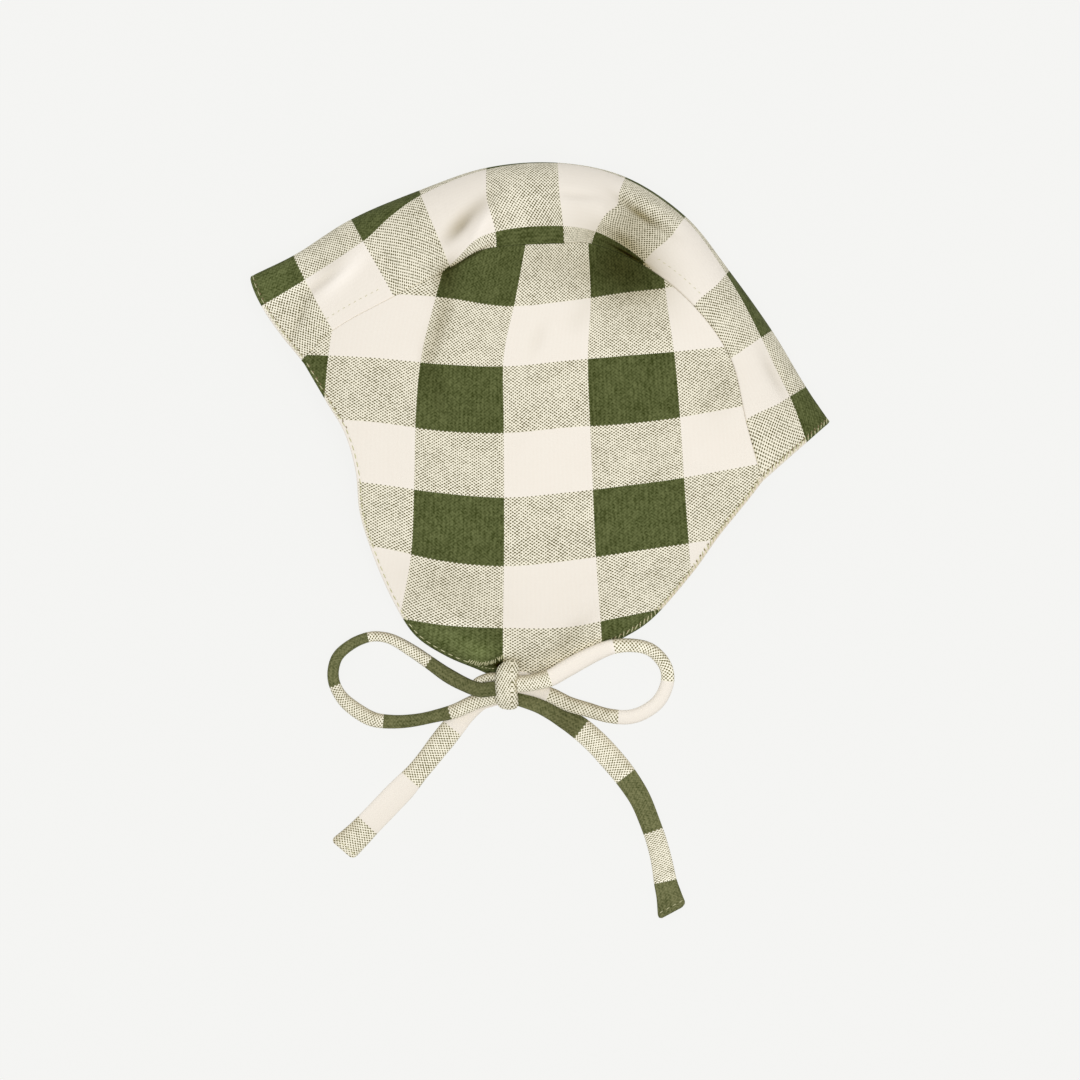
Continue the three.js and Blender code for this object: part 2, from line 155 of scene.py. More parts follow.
def jersey(name, checked=True, dash_lean=0.50, worn=OLIVE_WORN, wear=0.0, dash_colour=OLIVE_DASH):
    """Fine jersey. The UV map "Cloth" counts squares, and olive yarn runs in every odd column and odd row."""
    material = bpy.data.materials.new(name)
    material.use_nodes = True
    tree = material.node_tree
    shader = tree.nodes["Principled BSDF"]
    across = add_node(tree, "ShaderNodeSeparateXYZ", [add_node(tree, "ShaderNodeUVMap", uv_map="Cloth")])
    along = across.node.outputs[1]
    wales = reckon(tree, "MULTIPLY", across, WALES_PER_CHECK)
    courses = reckon(tree, "MULTIPLY", along, COURSES_PER_CHECK)
    from_middle = reckon(tree, "ABSOLUTE", reckon(tree, "SUBTRACT", reckon(tree, "FRACT", wales), 0.5))
    loop_course = reckon(tree, "MULTIPLY_ADD", from_middle, LOOP_ARCH, courses)
    wale = reckon(tree, "FLOOR", wales)
    course = reckon(tree, "FLOOR", loop_course)
    stitch_place = add_node(tree, "ShaderNodeCombineXYZ", (wale, course))
    stitch = add_node(tree, "ShaderNodeTexWhiteNoise", (stitch_place,), noise_dimensions="3D")
    cloth_place = add_node(tree, "ShaderNodeCombineXYZ", (wales, courses))
    patch = add_node(tree, "ShaderNodeTexNoise", (cloth_place, None, *PATCH_NOISE))
    lint = add_node(tree, "ShaderNodeTexNoise", (cloth_place, None, *LINT_NOISE))
    drawn_out = [reckon(tree, "MULTIPLY", count, stretch)
                 for count, stretch in zip((wales, courses), FIBRE_STRETCH)]
    fibre_place = add_node(tree, "ShaderNodeCombineXYZ", drawn_out)
    fibre = add_node(tree, "ShaderNodeTexNoise", (fibre_place, None, *FIBRE_NOISE))
    rib = reckon(tree, "COSINE", reckon(tree, "MULTIPLY", wales, math.pi))

    # The cream yarn, with the faint ribs of the knit.
    cream_tone = add_up(tree, CREAM_TONE, (rib, CREAM_RIB), (patch, CREAM_PATCH))
    colour = blend_colours(tree, cream_tone, CREAM, CREAM_SHADE)
    if checked:
        odd_column = is_odd(tree, square_of(tree, wale, WALES_PER_CHECK))
        odd_row = is_odd(tree, square_of(tree, course, COURSES_PER_CHECK))
        both = reckon(tree, "MULTIPLY", odd_column, odd_row)
        one = add_up(tree, odd_column, (odd_row, 1.0), (both, -2.0))

        # In a square of both yarns every other stitch is olive, and the stitches run together on the slant.
        slant_up, slant_down = (
            reckon(tree, "COSINE", reckon(tree, "MULTIPLY", reckon(tree, way, wales, courses), math.pi))
            for way in ("ADD", "SUBTRACT"))
        slants = add_up(tree, 0.0, (slant_up, dash_lean), (slant_down, 1 - dash_lean))
        dash = add_up(tree, DASH_TONE, (slants, 1.0), (stitch, DASH_STITCH), (patch, DASH_PATCH))
        fade = stored(tree, "fade")
        unfaded = add_up(tree, 1.0, (fade, -HEM_PALING))
        dash = reckon(tree, "MULTIPLY", soft_step(tree, dash, *DASH_EDGE), unfaded)
        mixed = blend_colours(tree, dash, MIX_CREAM, dash_colour)
        colour = blend_colours(tree, one, colour, mixed)

        # The olive yarn is lighter where it is worn, and keeps its colour at the hems.
        olive_tone = add_up(tree, wear + OLIVE_TONE, (slants, OLIVE_SLANT), (fibre, OLIVE_FIBRE),
                            (rib, OLIVE_RIB), (patch, OLIVE_PATCH), (stitch, OLIVE_STITCH),
                            (lint, OLIVE_LINT))
        olive = blend_colours(tree, olive_tone, OLIVE, worn)
        colour = blend_colours(tree, both, colour, olive)
        # The beige mark turns the hems beige, and paints shade beige on the ties' shaded flanks; the fade
        # mark pales the hems.
        not_olive = reckon(tree, "SUBTRACT", 1.0, both)
        beige = reckon(tree, "MULTIPLY", stored(tree, "beige"), not_olive)
        colour = blend_colours(tree, beige, colour, HEM_AND_SHADE_BEIGE)
        pale = reckon(tree, "MULTIPLY", reckon(tree, "MULTIPLY", fade, HEM_PALING), not_olive)
        colour = blend_colours(tree, pale, colour, HEM_CREAM)
    # Painted shade and light: the stored mark darkens the colour in folds, grooves and shadows, and lightens
    # it below zero.
    in_fold = add_node(tree, "ShaderNodeVectorMath", (stored(tree, "fold"), PAINTED_SHADE_TINT, (1, 1, 1)),
                       operation="MULTIPLY_ADD")
    colour = add_node(tree, "ShaderNodeVectorMath", (colour, in_fold), operation="MULTIPLY")
    tree.links.new(colour, shader.inputs["Base Color"])
    shader.inputs["Roughness"].default_value = 0.92
    shader.inputs["Specular IOR Level"].default_value = 0.05
    shader.inputs["Sheen Weight"].default_value = 0.02
    shader.inputs["Sheen Roughness"].default_value = 0.5

    # Each stitch is a V of two yarn legs, raised in the middle of each leg.
    leg = reckon(tree, "SINE", reckon(tree, "MULTIPLY", from_middle, 2 * math.pi))
    bead = reckon(tree, "SINE", reckon(tree, "MULTIPLY", loop_course, 2 * math.pi))
    raised = reckon(tree, "MULTIPLY", leg, add_up(tree, 1 - BEAD_RELIEF, (bead, BEAD_RELIEF)))
    bump = tree.nodes.new("ShaderNodeBump")
    bump.inputs["Strength"].default_value = 0.5
    bump.inputs["Distance"].default_value = STITCH_RELIEF
    tree.links.new(add_up(tree, raised, (lint, LINT_RELIEF)), bump.inputs["Height"])
    tree.links.new(bump.outputs[0], shader.inputs["Normal"])
    return material


def curve_through(keys, rows, at):
    """Rows of values on a smooth curve through the given rows, for the given keys."""
    i = np.clip(np.searchsorted(keys, at, side="left") - 1, 0, len(keys) - 2)
    each = np.arange(len(keys))
    before, after = np.maximum(each - 1, 0), np.minimum(each + 1, len(keys) - 1)
    slopes = (rows[after] - rows[before]) / (keys[after] - keys[before])[:, None]
    span = (keys[i + 1] - keys[i])[:, None]
    t = (at - keys[i])[:, None] / span
    start, end = slopes[i] * span, slopes[i + 1] * span
    rise = rows[i + 1] - rows[i]
    return rows[i] + t * (start + t * (3 * rise - 2 * start - end + t * (start + end - 2 * rise)))


def lengths_along(points):
    steps = np.linalg.norm(np.diff(points, axis=0), axis=1)
    return np.concatenate([[0], np.cumsum(steps)])


def unit(vectors):
    return vectors / np.maximum(np.linalg.norm(vectors, axis=-1, keepdims=True), 1e-12)


def ease(low, high, value):
    t = np.clip((value - low) / (high - low), 0, 1)
    return t * t * (3 - 2 * t)


def skin(name, rings, cloth, materials, inside=None, **marks):
    """A closed skin over rings of points, with a UV map of its place on the cloth and marks as attributes."""
    count, around = rings.shape[:2]
    here = np.arange(count * around).reshape(count, around)
    beside = np.roll(here, -1, 1)
    quads = np.stack([here[:-1], beside[:-1], beside[1:], here[1:]], -1).reshape(-1, 4)
    corners = np.stack([cloth[:-1, :-1], cloth[:-1, 1:], cloth[1:, 1:], cloth[1:, :-1]], 2)
    mesh = bpy.data.meshes.new(name)
    mesh.from_pydata(rings.reshape(-1, 3).tolist(), [], quads.tolist())
    mesh.uv_layers.new(name="Cloth").data.foreach_set("uv", corners.astype(np.float32).ravel())
    for mark, values in marks.items():
        attribute = mesh.attributes.new(mark, "FLOAT", "POINT")
        attribute.data.foreach_set("value", values.astype(np.float32).ravel())
    for material in materials:
        mesh.materials.append(material)
    if inside is not None:
        mesh.polygons.foreach_set("material_index", inside.astype(np.int32).ravel())
    mesh.polygons.foreach_set("use_smooth", np.ones(len(quads), bool))
    shape = bmesh.new()
    shape.from_mesh(mesh)
    bmesh.ops.remove_doubles(shape, verts=shape.verts, dist=1e-6)
    if shape.calc_volume(signed=True) < 0:
        bmesh.ops.reverse_faces(shape, faces=shape.faces)
    shape.to_mesh(mesh)
    shape.free()
    piece = bpy.data.objects.new(name, mesh)
    bpy.context.scene.collection.objects.link(piece)
    return piece


STRAND_SIDES = 32
STRAND_STEP, TRACE_STEPS = 0.0006, 600
STRAND_BOX = 2.5
INTO_KNOT = 0.0016
UP = np.array([0.0, 0.0, 1.0])

# A strand's soft lumps: length along it, turns around it, how far its own unevenness shifts them, and share.
LUMPS = ((0.0047, 2, 1, 0.6), (0.0083, -1, 3, 0.8), (0.0021, 3, 0, 0.25))
LUMP_HEIGHT = 0.022

# A free end is folded in, so its corners are round, and it may be cut on a slant.
END_ROUND = 0.0022
END_WIDTH, END_THICKNESS = 0.72, 0.25
SLANT_REACH = 0.007

# Painted shade and light: a square of both yarns is painted darker and beiger on a strand's flank away from
# the light and a little lighter overall, and a cream one is painted lighter on its lit flank.
SHADED_FLANK_REACH = (0.15, 0.95)
STRAND_SHADE, SHADED_FLANK_BEIGE, STRAND_MIX_LIGHT = 0.24, 0.35, 0.05
LIT_FROM, STRAND_LIT = (-0.4, 0.9), 0.035


def trace(route, into_knot):
    """An even line through the route, which runs on into the knot by the two given lengths at its ends."""
    route = np.array(route)
    ends = [route[0] + (route[0] - route[1]) / np.linalg.norm(route[0] - route[1]) * into_knot[0]]
    route = np.concatenate([ends, route])
    if into_knot[1]:
        last = route[-1] + (route[-1] - route[-2]) / np.linalg.norm(route[-1] - route[-2]) * into_knot[1]
        route = np.concatenate([route, [last]])
    keys = lengths_along(route)
    line = curve_through(keys, route, np.linspace(0, keys[-1], TRACE_STEPS))
    along = lengths_along(line)
    even = np.linspace(0, along[-1], int(along[-1] / STRAND_STEP) + 1)
    return np.stack([np.interp(even, along, line[:, k]) for k in range(3)], 1), even


def boxed_round(angle, box):
    """Places around a round section that is squared off, as shares of its half width and thickness."""
    across, up = np.cos(angle), np.sin(angle)
    return np.sign(across) * np.abs(across) ** (2 / box), np.sign(up) * np.abs(up) ** (2 / box)


def rows_along(along, changes, first_row):
    """The row of the check at each place along a strand, from the places where its rows change."""
    keys = np.array([0.0, *(change + INTO_KNOT for change in changes), along[-1]])
    rows = first_row + np.arange(len(keys), dtype=float)
    if changes:
        rows[0] += 1 - min(1, (keys[1] - keys[0]) / CHECK_HEIGHT)
    rows[-1] = rows[-2] + min(1, (keys[-1] - keys[-2]) / CHECK_HEIGHT)
    return np.interp(along, keys, rows)


def strand(name, route, sizes, changes, column, first_row, end_round, unevenness, shades, slant=0.0):
    """A tie's strand. sizes: place, width and thickness along it; changes: where the check's rows change."""
    line, along = trace(route, (INTO_KNOT, 0 if end_round else INTO_KNOT))
    place, width, thick = np.array(sizes).T
    half = curve_through(place * along[-1], np.stack([width, thick], 1) / 2, along)
    forward = unit(np.gradient(line, axis=0))
    aside = unit(np.cross(forward, UP))
    rise = np.cross(aside, forward)
    angle = -math.pi / 2 + 2 * math.pi * np.arange(STRAND_SIDES + 1) / STRAND_SIDES
    out, up = boxed_round(angle, STRAND_BOX)
    if end_round:
        left = np.clip((along[-1] - along) / end_round, 0, 1)
        corner = np.sqrt(1 - (1 - left) ** 2)
        half = half * np.stack([END_WIDTH + (1 - END_WIDTH) * corner,
                                END_THICKNESS + (1 - END_THICKNESS) * corner], 1)
    lumps = sum(share * np.sin(along[:, None] / length + turns * angle + shift * unevenness)
                for length, turns, shift, share in LUMPS) * LUMP_HEIGHT
    x = half[:, :1] * out * (1 + lumps)
    z = half[:, 1:] * up * (1 + lumps)
    ahead = slant * x * ease(along[-1] - SLANT_REACH, along[-1], along)[:, None]
    points = line[:, None] + aside[:, None] * x[..., None] + rise[:, None] * z[..., None]
    points += forward[:, None] * ahead[..., None]

    # The check runs along the strand, with the middle of a column on top.
    around = np.zeros_like(x)
    around[:, 1:] = np.cumsum(np.hypot(np.diff(x, axis=1), np.diff(z, axis=1)), axis=1)
    girth = around[:, -1:]
    row = rows_along(along, changes, first_row)
    cloth = np.stack([column + 0.5 + (around - girth / 2) / CHECK_WIDTH,
                      np.repeat(row[:, None], len(angle), 1)], -1)
    cloth = np.concatenate([cloth[:1], cloth, cloth[-1:]])
    rings = points[:, :-1]
    start, end = (np.repeat(rings[k].mean(0)[None, None], STRAND_SIDES, 1) for k in (0, -1))
    rings = np.concatenate([start, rings, end])

    # Painted shade and light on the strand, by flank and by place along it.
    mixed = (np.floor(row) + column) % 2 == 1
    shaded_flank = ease(*SHADED_FLANK_REACH, aside[:, 1:2] * out[:-1]) * mixed[:, None]
    lit = (aside[:, :1] * LIT_FROM[0] + aside[:, 1:2] * LIT_FROM[1]) * out[:-1]
    plain_cream = ~mixed[:, None] * (column % 2 == 0)
    shade = shaded_flank * STRAND_SHADE - STRAND_MIX_LIGHT * mixed[:, None] - lit * STRAND_LIT * plain_cream
    shade = shade + np.interp(along / along[-1], *np.array(shades).T)[:, None]
    shaded_flank, shade = (np.concatenate([marks[:1], marks, marks[-1:]]) for marks in (shaded_flank, shade))
    piece = skin(name, rings, cloth, [tie_jersey], fade=np.zeros_like(shaded_flank), beige=shaded_flank * SHADED_FLANK_BEIGE,
                 fold=shade)
    return piece, line, along[-1]


tie_jersey = jersey("Tie jersey", worn=OLIVE_STRETCHED, wear=0.18, dash_colour=OLIVE_DASH_STRETCHED)

LOOP_FRONT_ROUTE = [
    (-0.0178, -0.0992, 0.0102), (-0.0222, -0.0996, 0.0086), (-0.0278, -0.0977, 0.0060),
    (-0.0341, -0.0944, 0.0040), (-0.0411, -0.0896, 0.0028), (-0.0476, -0.0852, 0.0024),
    (-0.0550, -0.0811, 0.0024), (-0.0601, -0.0800, 0.0024), (-0.0645, -0.0805, 0.0024),
    (-0.0701, -0.0830, 0.0024), (-0.0750, -0.0873, 0.0024), (-0.0768, -0.0928, 0.0024),
    (-0.0762, -0.0979, 0.0024), (-0.0730, -0.1033, 0.0024), (-0.0677, -0.1077, 0.0024),
    (-0.0617, -0.1108, 0.0024), (-0.0549, -0.1116, 0.0024), (-0.0468, -0.1111, 0.0028),
    (-0.0385, -0.1094, 0.0038), (-0.0313, -0.1075, 0.0054), (-0.0241, -0.1042, 0.0060),
    (-0.0176, -0.1022, 0.0056)]
LOOP_BACK_ROUTE = [
    (-0.0073, -0.0973, 0.0102), (-0.0026, -0.0968, 0.0092), (0.0033, -0.0953, 0.0082),
    (0.0090, -0.0921, 0.0078), (0.0160, -0.0882, 0.0078), (0.0223, -0.0852, 0.0084),
    (0.0276, -0.0835, 0.0088), (0.0340, -0.0832, 0.0074), (0.0404, -0.0846, 0.0048),
    (0.0449, -0.0884, 0.0028), (0.0472, -0.0929, 0.0024), (0.0471, -0.0980, 0.0024),
    (0.0440, -0.1041, 0.0024), (0.0385, -0.1082, 0.0024), (0.0326, -0.1099, 0.0024),
    (0.0252, -0.1093, 0.0026), (0.0181, -0.1072, 0.0036), (0.0108, -0.1050, 0.0048),
    (0.0045, -0.1019, 0.0056), (-0.0011, -0.0998, 0.0058), (-0.0076, -0.0984, 0.0058)]
TAIL_FRONT_ROUTE = [
    (-0.0175, -0.1030, 0.0016), (-0.0223, -0.1044, 0.0016), (-0.0279, -0.1088, 0.0016),
    (-0.0328, -0.1143, 0.0016), (-0.0375, -0.1203, 0.0016), (-0.0426, -0.1269, 0.0016),
    (-0.0482, -0.1336, 0.0016), (-0.0546, -0.1403, 0.0016), (-0.0610, -0.1468, 0.0016),
    (-0.0672, -0.1532, 0.0016), (-0.0736, -0.1593, 0.0016)]
TAIL_BACK_ROUTE = [
    (-0.0077, -0.1030, 0.0018), (0.0000, -0.1057, 0.0016), (0.0082, -0.1101, 0.0016),
    (0.0154, -0.1146, 0.0016), (0.0236, -0.1224, 0.0016), (0.0318, -0.1320, 0.0016),
    (0.0373, -0.1405, 0.0016), (0.0420, -0.1523, 0.0016), (0.0446, -0.1612, 0.0016),
    (0.0465, -0.1710, 0.0016), (0.0480, -0.1768, 0.0016), (0.0491, -0.1826, 0.0016)]

# The width and thickness of each strand at places along it, as shares of its length.
LOOP_FRONT_SIZES = [
    (0, 0.0055, 0.0046), (0.08, 0.0053, 0.0046), (0.13, 0.0056, 0.0044), (0.19, 0.0050, 0.0044),
    (0.26, 0.0046, 0.0044), (0.33, 0.0039, 0.0042), (0.42, 0.0040, 0.0042), (0.5, 0.00425, 0.0042),
    (0.56, 0.0046, 0.0042), (0.60, 0.0053, 0.0042), (0.65, 0.0056, 0.0042), (0.70, 0.0053, 0.0042),
    (0.76, 0.0049, 0.0042), (0.82, 0.0045, 0.0044), (0.90, 0.0055, 0.0044), (1, 0.0060, 0.0046)]
LOOP_BACK_SIZES = [
    (0, 0.0058, 0.0046), (0.07, 0.0063, 0.0048), (0.12, 0.0066, 0.0050), (0.17, 0.0066, 0.0050),
    (0.22, 0.0062, 0.0050), (0.28, 0.0057, 0.0048), (0.36, 0.0050, 0.0044), (0.46, 0.0048, 0.0043),
    (0.56, 0.0052, 0.0044), (0.68, 0.0053, 0.0044), (0.86, 0.0056, 0.0046), (1, 0.0050, 0.0044)]
TAIL_FRONT_SIZES = [
    (0, 0.0058, 0.0028), (0.12, 0.0070, 0.0028), (0.22, 0.0082, 0.0028), (0.31, 0.0086, 0.0028),
    (0.42, 0.0083, 0.0026), (0.51, 0.0082, 0.0026), (0.60, 0.0093, 0.0026), (0.72, 0.0096, 0.0026),
    (0.84, 0.0098, 0.0026), (0.93, 0.0103, 0.0024), (1, 0.0110, 0.0024)]
TAIL_BACK_SIZES = [
    (0, 0.0056, 0.0028), (0.15, 0.0064, 0.0028), (0.20, 0.0075, 0.0028), (0.25, 0.0086, 0.0028),
    (0.35, 0.0089, 0.0026), (0.45, 0.0087, 0.0026), (0.55, 0.0083, 0.0026), (0.64, 0.0077, 0.0026),
    (0.71, 0.0075, 0.0026), (0.79, 0.0078, 0.0026), (0.86, 0.0084, 0.0026), (0.93, 0.0093, 0.0026),
    (1, 0.0112, 0.0024)]

# How much shade is painted into each strand's colour at places along it; a value below zero is painted light.
LOOP_FRONT_SHADES = [
    (0, 0.05), (0.18, 0.03), (0.20, 0.0), (0.35, 0.0), (0.37, -0.09), (0.53, -0.10), (0.55, 0.06),
    (0.68, 0.05), (0.70, -0.03), (0.84, -0.03), (0.87, 0.04), (1, 0.04)]
LOOP_BACK_SHADES = [
    (0, -0.01), (0.28, -0.01), (0.30, -0.07), (0.50, -0.07), (0.52, -0.01), (0.69, 0.0), (0.75, 0.16),
    (1, 0.16)]
TAIL_FRONT_SHADES = [
    (0, 0.06), (0.22, 0.02), (0.82, 0.02), (0.84, 0.05), (1, 0.05)]
TAIL_BACK_SHADES = [
    (0, -0.02), (0.12, 0.0), (0.17, 0.13), (0.24, 0.17), (0.25, 0.0), (0.47, 0.0), (0.48, -0.10),
    (0.69, -0.12), (0.70, 0.0), (0.87, 0.0), (0.88, -0.09), (1, -0.05)]

# Where along each strand one square of the check ends and the next begins.
LOOP_FRONT_CHANGES = (0.0273, 0.0526, 0.0774, 0.1007, 0.1263)
LOOP_BACK_CHANGES = (0.0113, 0.0380, 0.0672, 0.0922, 0.1199)
TAIL_FRONT_CHANGES = (0.0194, 0.0441, 0.0672)
TAIL_BACK_CHANGES = (0.0260, 0.0500, 0.0729, 0.0921)
OLIVE_COLUMN, CREAM_COLUMN = 1, 2
OLIVE_ROW, CREAM_ROW = 1, 2
TAIL_FRONT_SLANT, TAIL_BACK_SLANT = 0.10, 0.32

loop_front, loop_front_line, loop_front_length = strand(
    "bow_loop_front", LOOP_FRONT_ROUTE, LOOP_FRONT_SIZES, LOOP_FRONT_CHANGES, OLIVE_COLUMN, OLIVE_ROW,
    end_round=0, unevenness=0.4, shades=LOOP_FRONT_SHADES)
loop_back, loop_back_line, loop_back_length = strand(
    "bow_loop_back", LOOP_BACK_ROUTE, LOOP_BACK_SIZES, LOOP_BACK_CHANGES, CREAM_COLUMN, OLIVE_ROW,
    end_round=0, unevenness=1.7, shades=LOOP_BACK_SHADES)
tail_front, tail_front_line, tail_front_length = strand(
    "tie_end_front", TAIL_FRONT_ROUTE, TAIL_FRONT_SIZES, TAIL_FRONT_CHANGES, CREAM_COLUMN, CREAM_ROW,
    end_round=END_ROUND, unevenness=2.9, shades=TAIL_FRONT_SHADES, slant=TAIL_FRONT_SLANT)
tail_back, tail_back_line, tail_back_length = strand(
    "tie_end_back", TAIL_BACK_ROUTE, TAIL_BACK_SIZES, TAIL_BACK_CHANGES, OLIVE_COLUMN, OLIVE_ROW,
    end_round=END_ROUND, unevenness=4.3, shades=TAIL_BACK_SHADES, slant=TAIL_BACK_SLANT)
strands = {"tie_loop_front": (loop_front, loop_front_line, loop_front_length, 0.0050, "object"),
           "tie_loop_back": (loop_back, loop_back_line, loop_back_length, 0.0053, "object"),
           "tie_tail_front": (tail_front, tail_front_line, tail_front_length, 0.0088, "bare"),
           "tie_tail_back": (tail_back, tail_back_line, tail_back_length, 0.0084, "bare")}
for node_name, (piece, *_) in strands.items():
    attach(piece, "root")
    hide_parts(node_name)


# The bow's knot
# One tie is wrapped round both loops and pulled tight, so the knot is a short stretch of the same strip. It
# arches over the strands and tucks in above and below them, and its knit runs on the slant beside a crease.

KNOT_MIDDLE = -0.0126
KNOT_ROWS = [  # place across the strands, half width, lowest and highest point, shift aside
    (-0.0884, 0.0010, 0.0076, 0.0086, 0.0019), (-0.0893, 0.0027, 0.0066, 0.0104, 0.0016),
    (-0.0911, 0.0039, 0.0060, 0.0120, 0.0010), (-0.0940, 0.0043, 0.0052, 0.0130, 0.0004),
    (-0.0975, 0.0044, 0.0044, 0.0133, -0.0001), (-0.1010, 0.0044, 0.0030, 0.0128, -0.0001),
    (-0.1040, 0.0043, 0.0012, 0.0112, 0.0003), (-0.1056, 0.0037, 0.0006, 0.0090, 0.0008),
    (-0.1067, 0.0026, 0.0012, 0.0064, 0.0010), (-0.1071, 0.0012, 0.0024, 0.0042, 0.0012)]
KNOT_STEPS, KNOT_SIDES = 60, 40
KNOT_BOX = 2.25
KNOT_CREASE, CREASE_WIDTH, CREASE_DEPTH = 0.0023, 0.0007, 0.00035
KNOT_RIB_SLANT = math.radians(8)
KNOT_COLUMN, KNOT_ROW = 1.5, 2.5

knot_jersey = jersey("Tie jersey of the knot", dash_lean=0.59, worn=OLIVE_STRETCHED, wear=0.18,
                     dash_colour=OLIVE_DASH_STRETCHED)


def wrap(name, rows):
    """A short stretch of tie, arched over what it is wrapped round, from rows of sizes across its middle."""
    rows = np.array(rows)[::-1]
    keys = rows[:, 0]
    y = np.linspace(keys[0], keys[-1], KNOT_STEPS)
    half, low, high, shift = curve_through(keys, rows[:, 1:], y).T
    angle = -math.pi / 2 + 2 * math.pi * np.arange(KNOT_SIDES) / KNOT_SIDES
    out, up = boxed_round(angle, KNOT_BOX)
    x = half[:, None] * out
    dip = CREASE_DEPTH * np.exp(-((x - KNOT_CREASE) / CREASE_WIDTH) ** 2) * (up > 0)
    z = (low + high)[:, None] / 2 + (high - low)[:, None] / 2 * up - dip
    rings = np.stack([KNOT_MIDDLE + shift[:, None] + x, np.broadcast_to(y[:, None], x.shape), z], -1)
    ends = [np.broadcast_to(rings[k].mean(0), rings[k].shape)[None] for k in (0, -1)]
    rings = np.concatenate([ends[0], rings, ends[1]])
    beside = -np.abs(rings[..., 0] - KNOT_MIDDLE - KNOT_CREASE)
    down = -rings[..., 1]
    over = beside * math.cos(KNOT_RIB_SLANT) - down * math.sin(KNOT_RIB_SLANT)
    past = beside * math.sin(KNOT_RIB_SLANT) + down * math.cos(KNOT_RIB_SLANT)
    past -= past.mean()
    over -= over.mean()
    cloth = np.stack([KNOT_COLUMN + past / CHECK_WIDTH, KNOT_ROW + over / CHECK_HEIGHT], -1)
    cloth = np.concatenate([cloth, cloth[:, :1]], 1)
    nothing = np.zeros(rings.shape[:2])
    return skin(name, rings, cloth, [knot_jersey], fade=nothing, beige=nothing)


# Two short bits of the ties show beside the knot: one leaves the flap's point, one turns back behind a loop.
FLAP_BIT_ROUTE = [(-0.0105, -0.0934, 0.0062), (-0.0080, -0.0939, 0.0052), (-0.0055, -0.0941, 0.0042),
                  (-0.0030, -0.0939, 0.0030)]
TURNED_BIT_ROUTE = [(-0.0160, -0.0952, 0.0070), (-0.0190, -0.0953, 0.0064), (-0.0218, -0.0962, 0.0058),
                    (-0.0244, -0.0975, 0.0054)]
FLAP_BIT_SIZES = [(0, 0.0026, 0.0026), (1, 0.0030, 0.0026)]
TURNED_BIT_SIZES = [(0, 0.0040, 0.0040), (0.6, 0.0038, 0.0038), (1, 0.0034, 0.0034)]
# Painted shade on both bits, which lie beside and under the knot.
BIT_SHADES = [(0, 0.12), (1, 0.06)]

knot = wrap("bow_knot", KNOT_ROWS)
flap_bit, *_ = strand("bow_bit_flap", FLAP_BIT_ROUTE, FLAP_BIT_SIZES, (), CREAM_COLUMN, CREAM_ROW,
                      end_round=END_ROUND, unevenness=0.9, shades=BIT_SHADES)
turned_bit, *_ = strand("bow_bit_turned", TURNED_BIT_ROUTE, TURNED_BIT_SIZES, (), OLIVE_COLUMN, CREAM_ROW,
                        end_round=END_ROUND, unevenness=2.2, shades=BIT_SHADES)
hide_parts("tie_knot")
for piece in (knot, flap_bit, turned_bit):
    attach(piece, "root")


# The crown band
# One strip of check jersey runs from the peak's edge over the crown to the nape, between the two side panels.
# It is doubled, so its hems at the peak and the nape are round folded edges, and it is sewn to both panels.

CLOTH_HALF = 0.0009
HEM_ROUND, SEAM_ROUND, SEAM_DEPTH, SEAM_GAP = 0.0009, 0.00028, 0.72, 0.00003
STITCHES_FROM_EDGE, HOLES_FROM_EDGE = 0.00135, 0.0018
PINCH_WIDTH, PINCH_DEPTH = 0.0003, 0.16
RIM_STEPS = (0.0, 0.00012, 0.0003, 0.00055, 0.0009, STITCHES_FROM_EDGE, HOLES_FROM_EDGE,
             0.0024, 0.0034, 0.0048)
FOLD_EASE = 0.12
PEAK_HEM, NAPE_HEM = -0.68, 9.65
BAND_LENGTH_PER_CHECK = 0.0258
SEAM_LEAN, SEAM_BLEND = 0.35, 0.004

# Check: mid-line x, y, z; upper seam x, y, z; reach of the lower side; flatness; bow of the hem.
BAND_SHAPE = np.array([
    (-0.68, -0.1066, 0.0527, 0.0150, -0.0869, 0.0211, 0.0300, 1.00, 0.60, -0.0022),
    (0.00, -0.0903, 0.0604, 0.0170, -0.0751, 0.0320, 0.0330, 1.02, 0.50, -0.0004),
    (1.00, -0.0691, 0.0733, 0.0200, -0.0527, 0.0440, 0.0380, 1.08, 0.30, 0.0),
    (2.00, -0.0441, 0.0836, 0.0225, -0.0322, 0.0541, 0.0420, 1.15, 0.10, 0.0),
    (3.00, -0.0194, 0.0917, 0.0240, -0.0188, 0.0608, 0.0440, 1.20, 0.00, 0.0),
    (4.00, 0.0066, 0.0935, 0.0240, 0.0079, 0.0625, 0.0450, 1.20, 0.00, 0.0),
    (5.00, 0.0314, 0.0882, 0.0240, 0.0208, 0.0618, 0.0450, 1.20, 0.00, 0.0),
    (6.00, 0.0533, 0.0738, 0.0235, 0.0396, 0.0533, 0.0435, 1.20, 0.05, 0.0),
    (7.00, 0.0693, 0.0541, 0.0220, 0.0566, 0.0391, 0.0410, 1.20, 0.10, 0.0),
    (8.00, 0.0850, 0.0324, 0.0200, 0.0690, 0.0212, 0.0380, 1.15, 0.25, 0.0),
    (9.00, 0.0976, 0.0119, 0.0180, 0.0750, -0.0022, 0.0350, 1.05, 0.50, 0.0),
    (9.65, 0.1065, -0.0010, 0.0165, 0.0809, -0.0231, 0.0320, 1.00, 0.60, 0.0)])

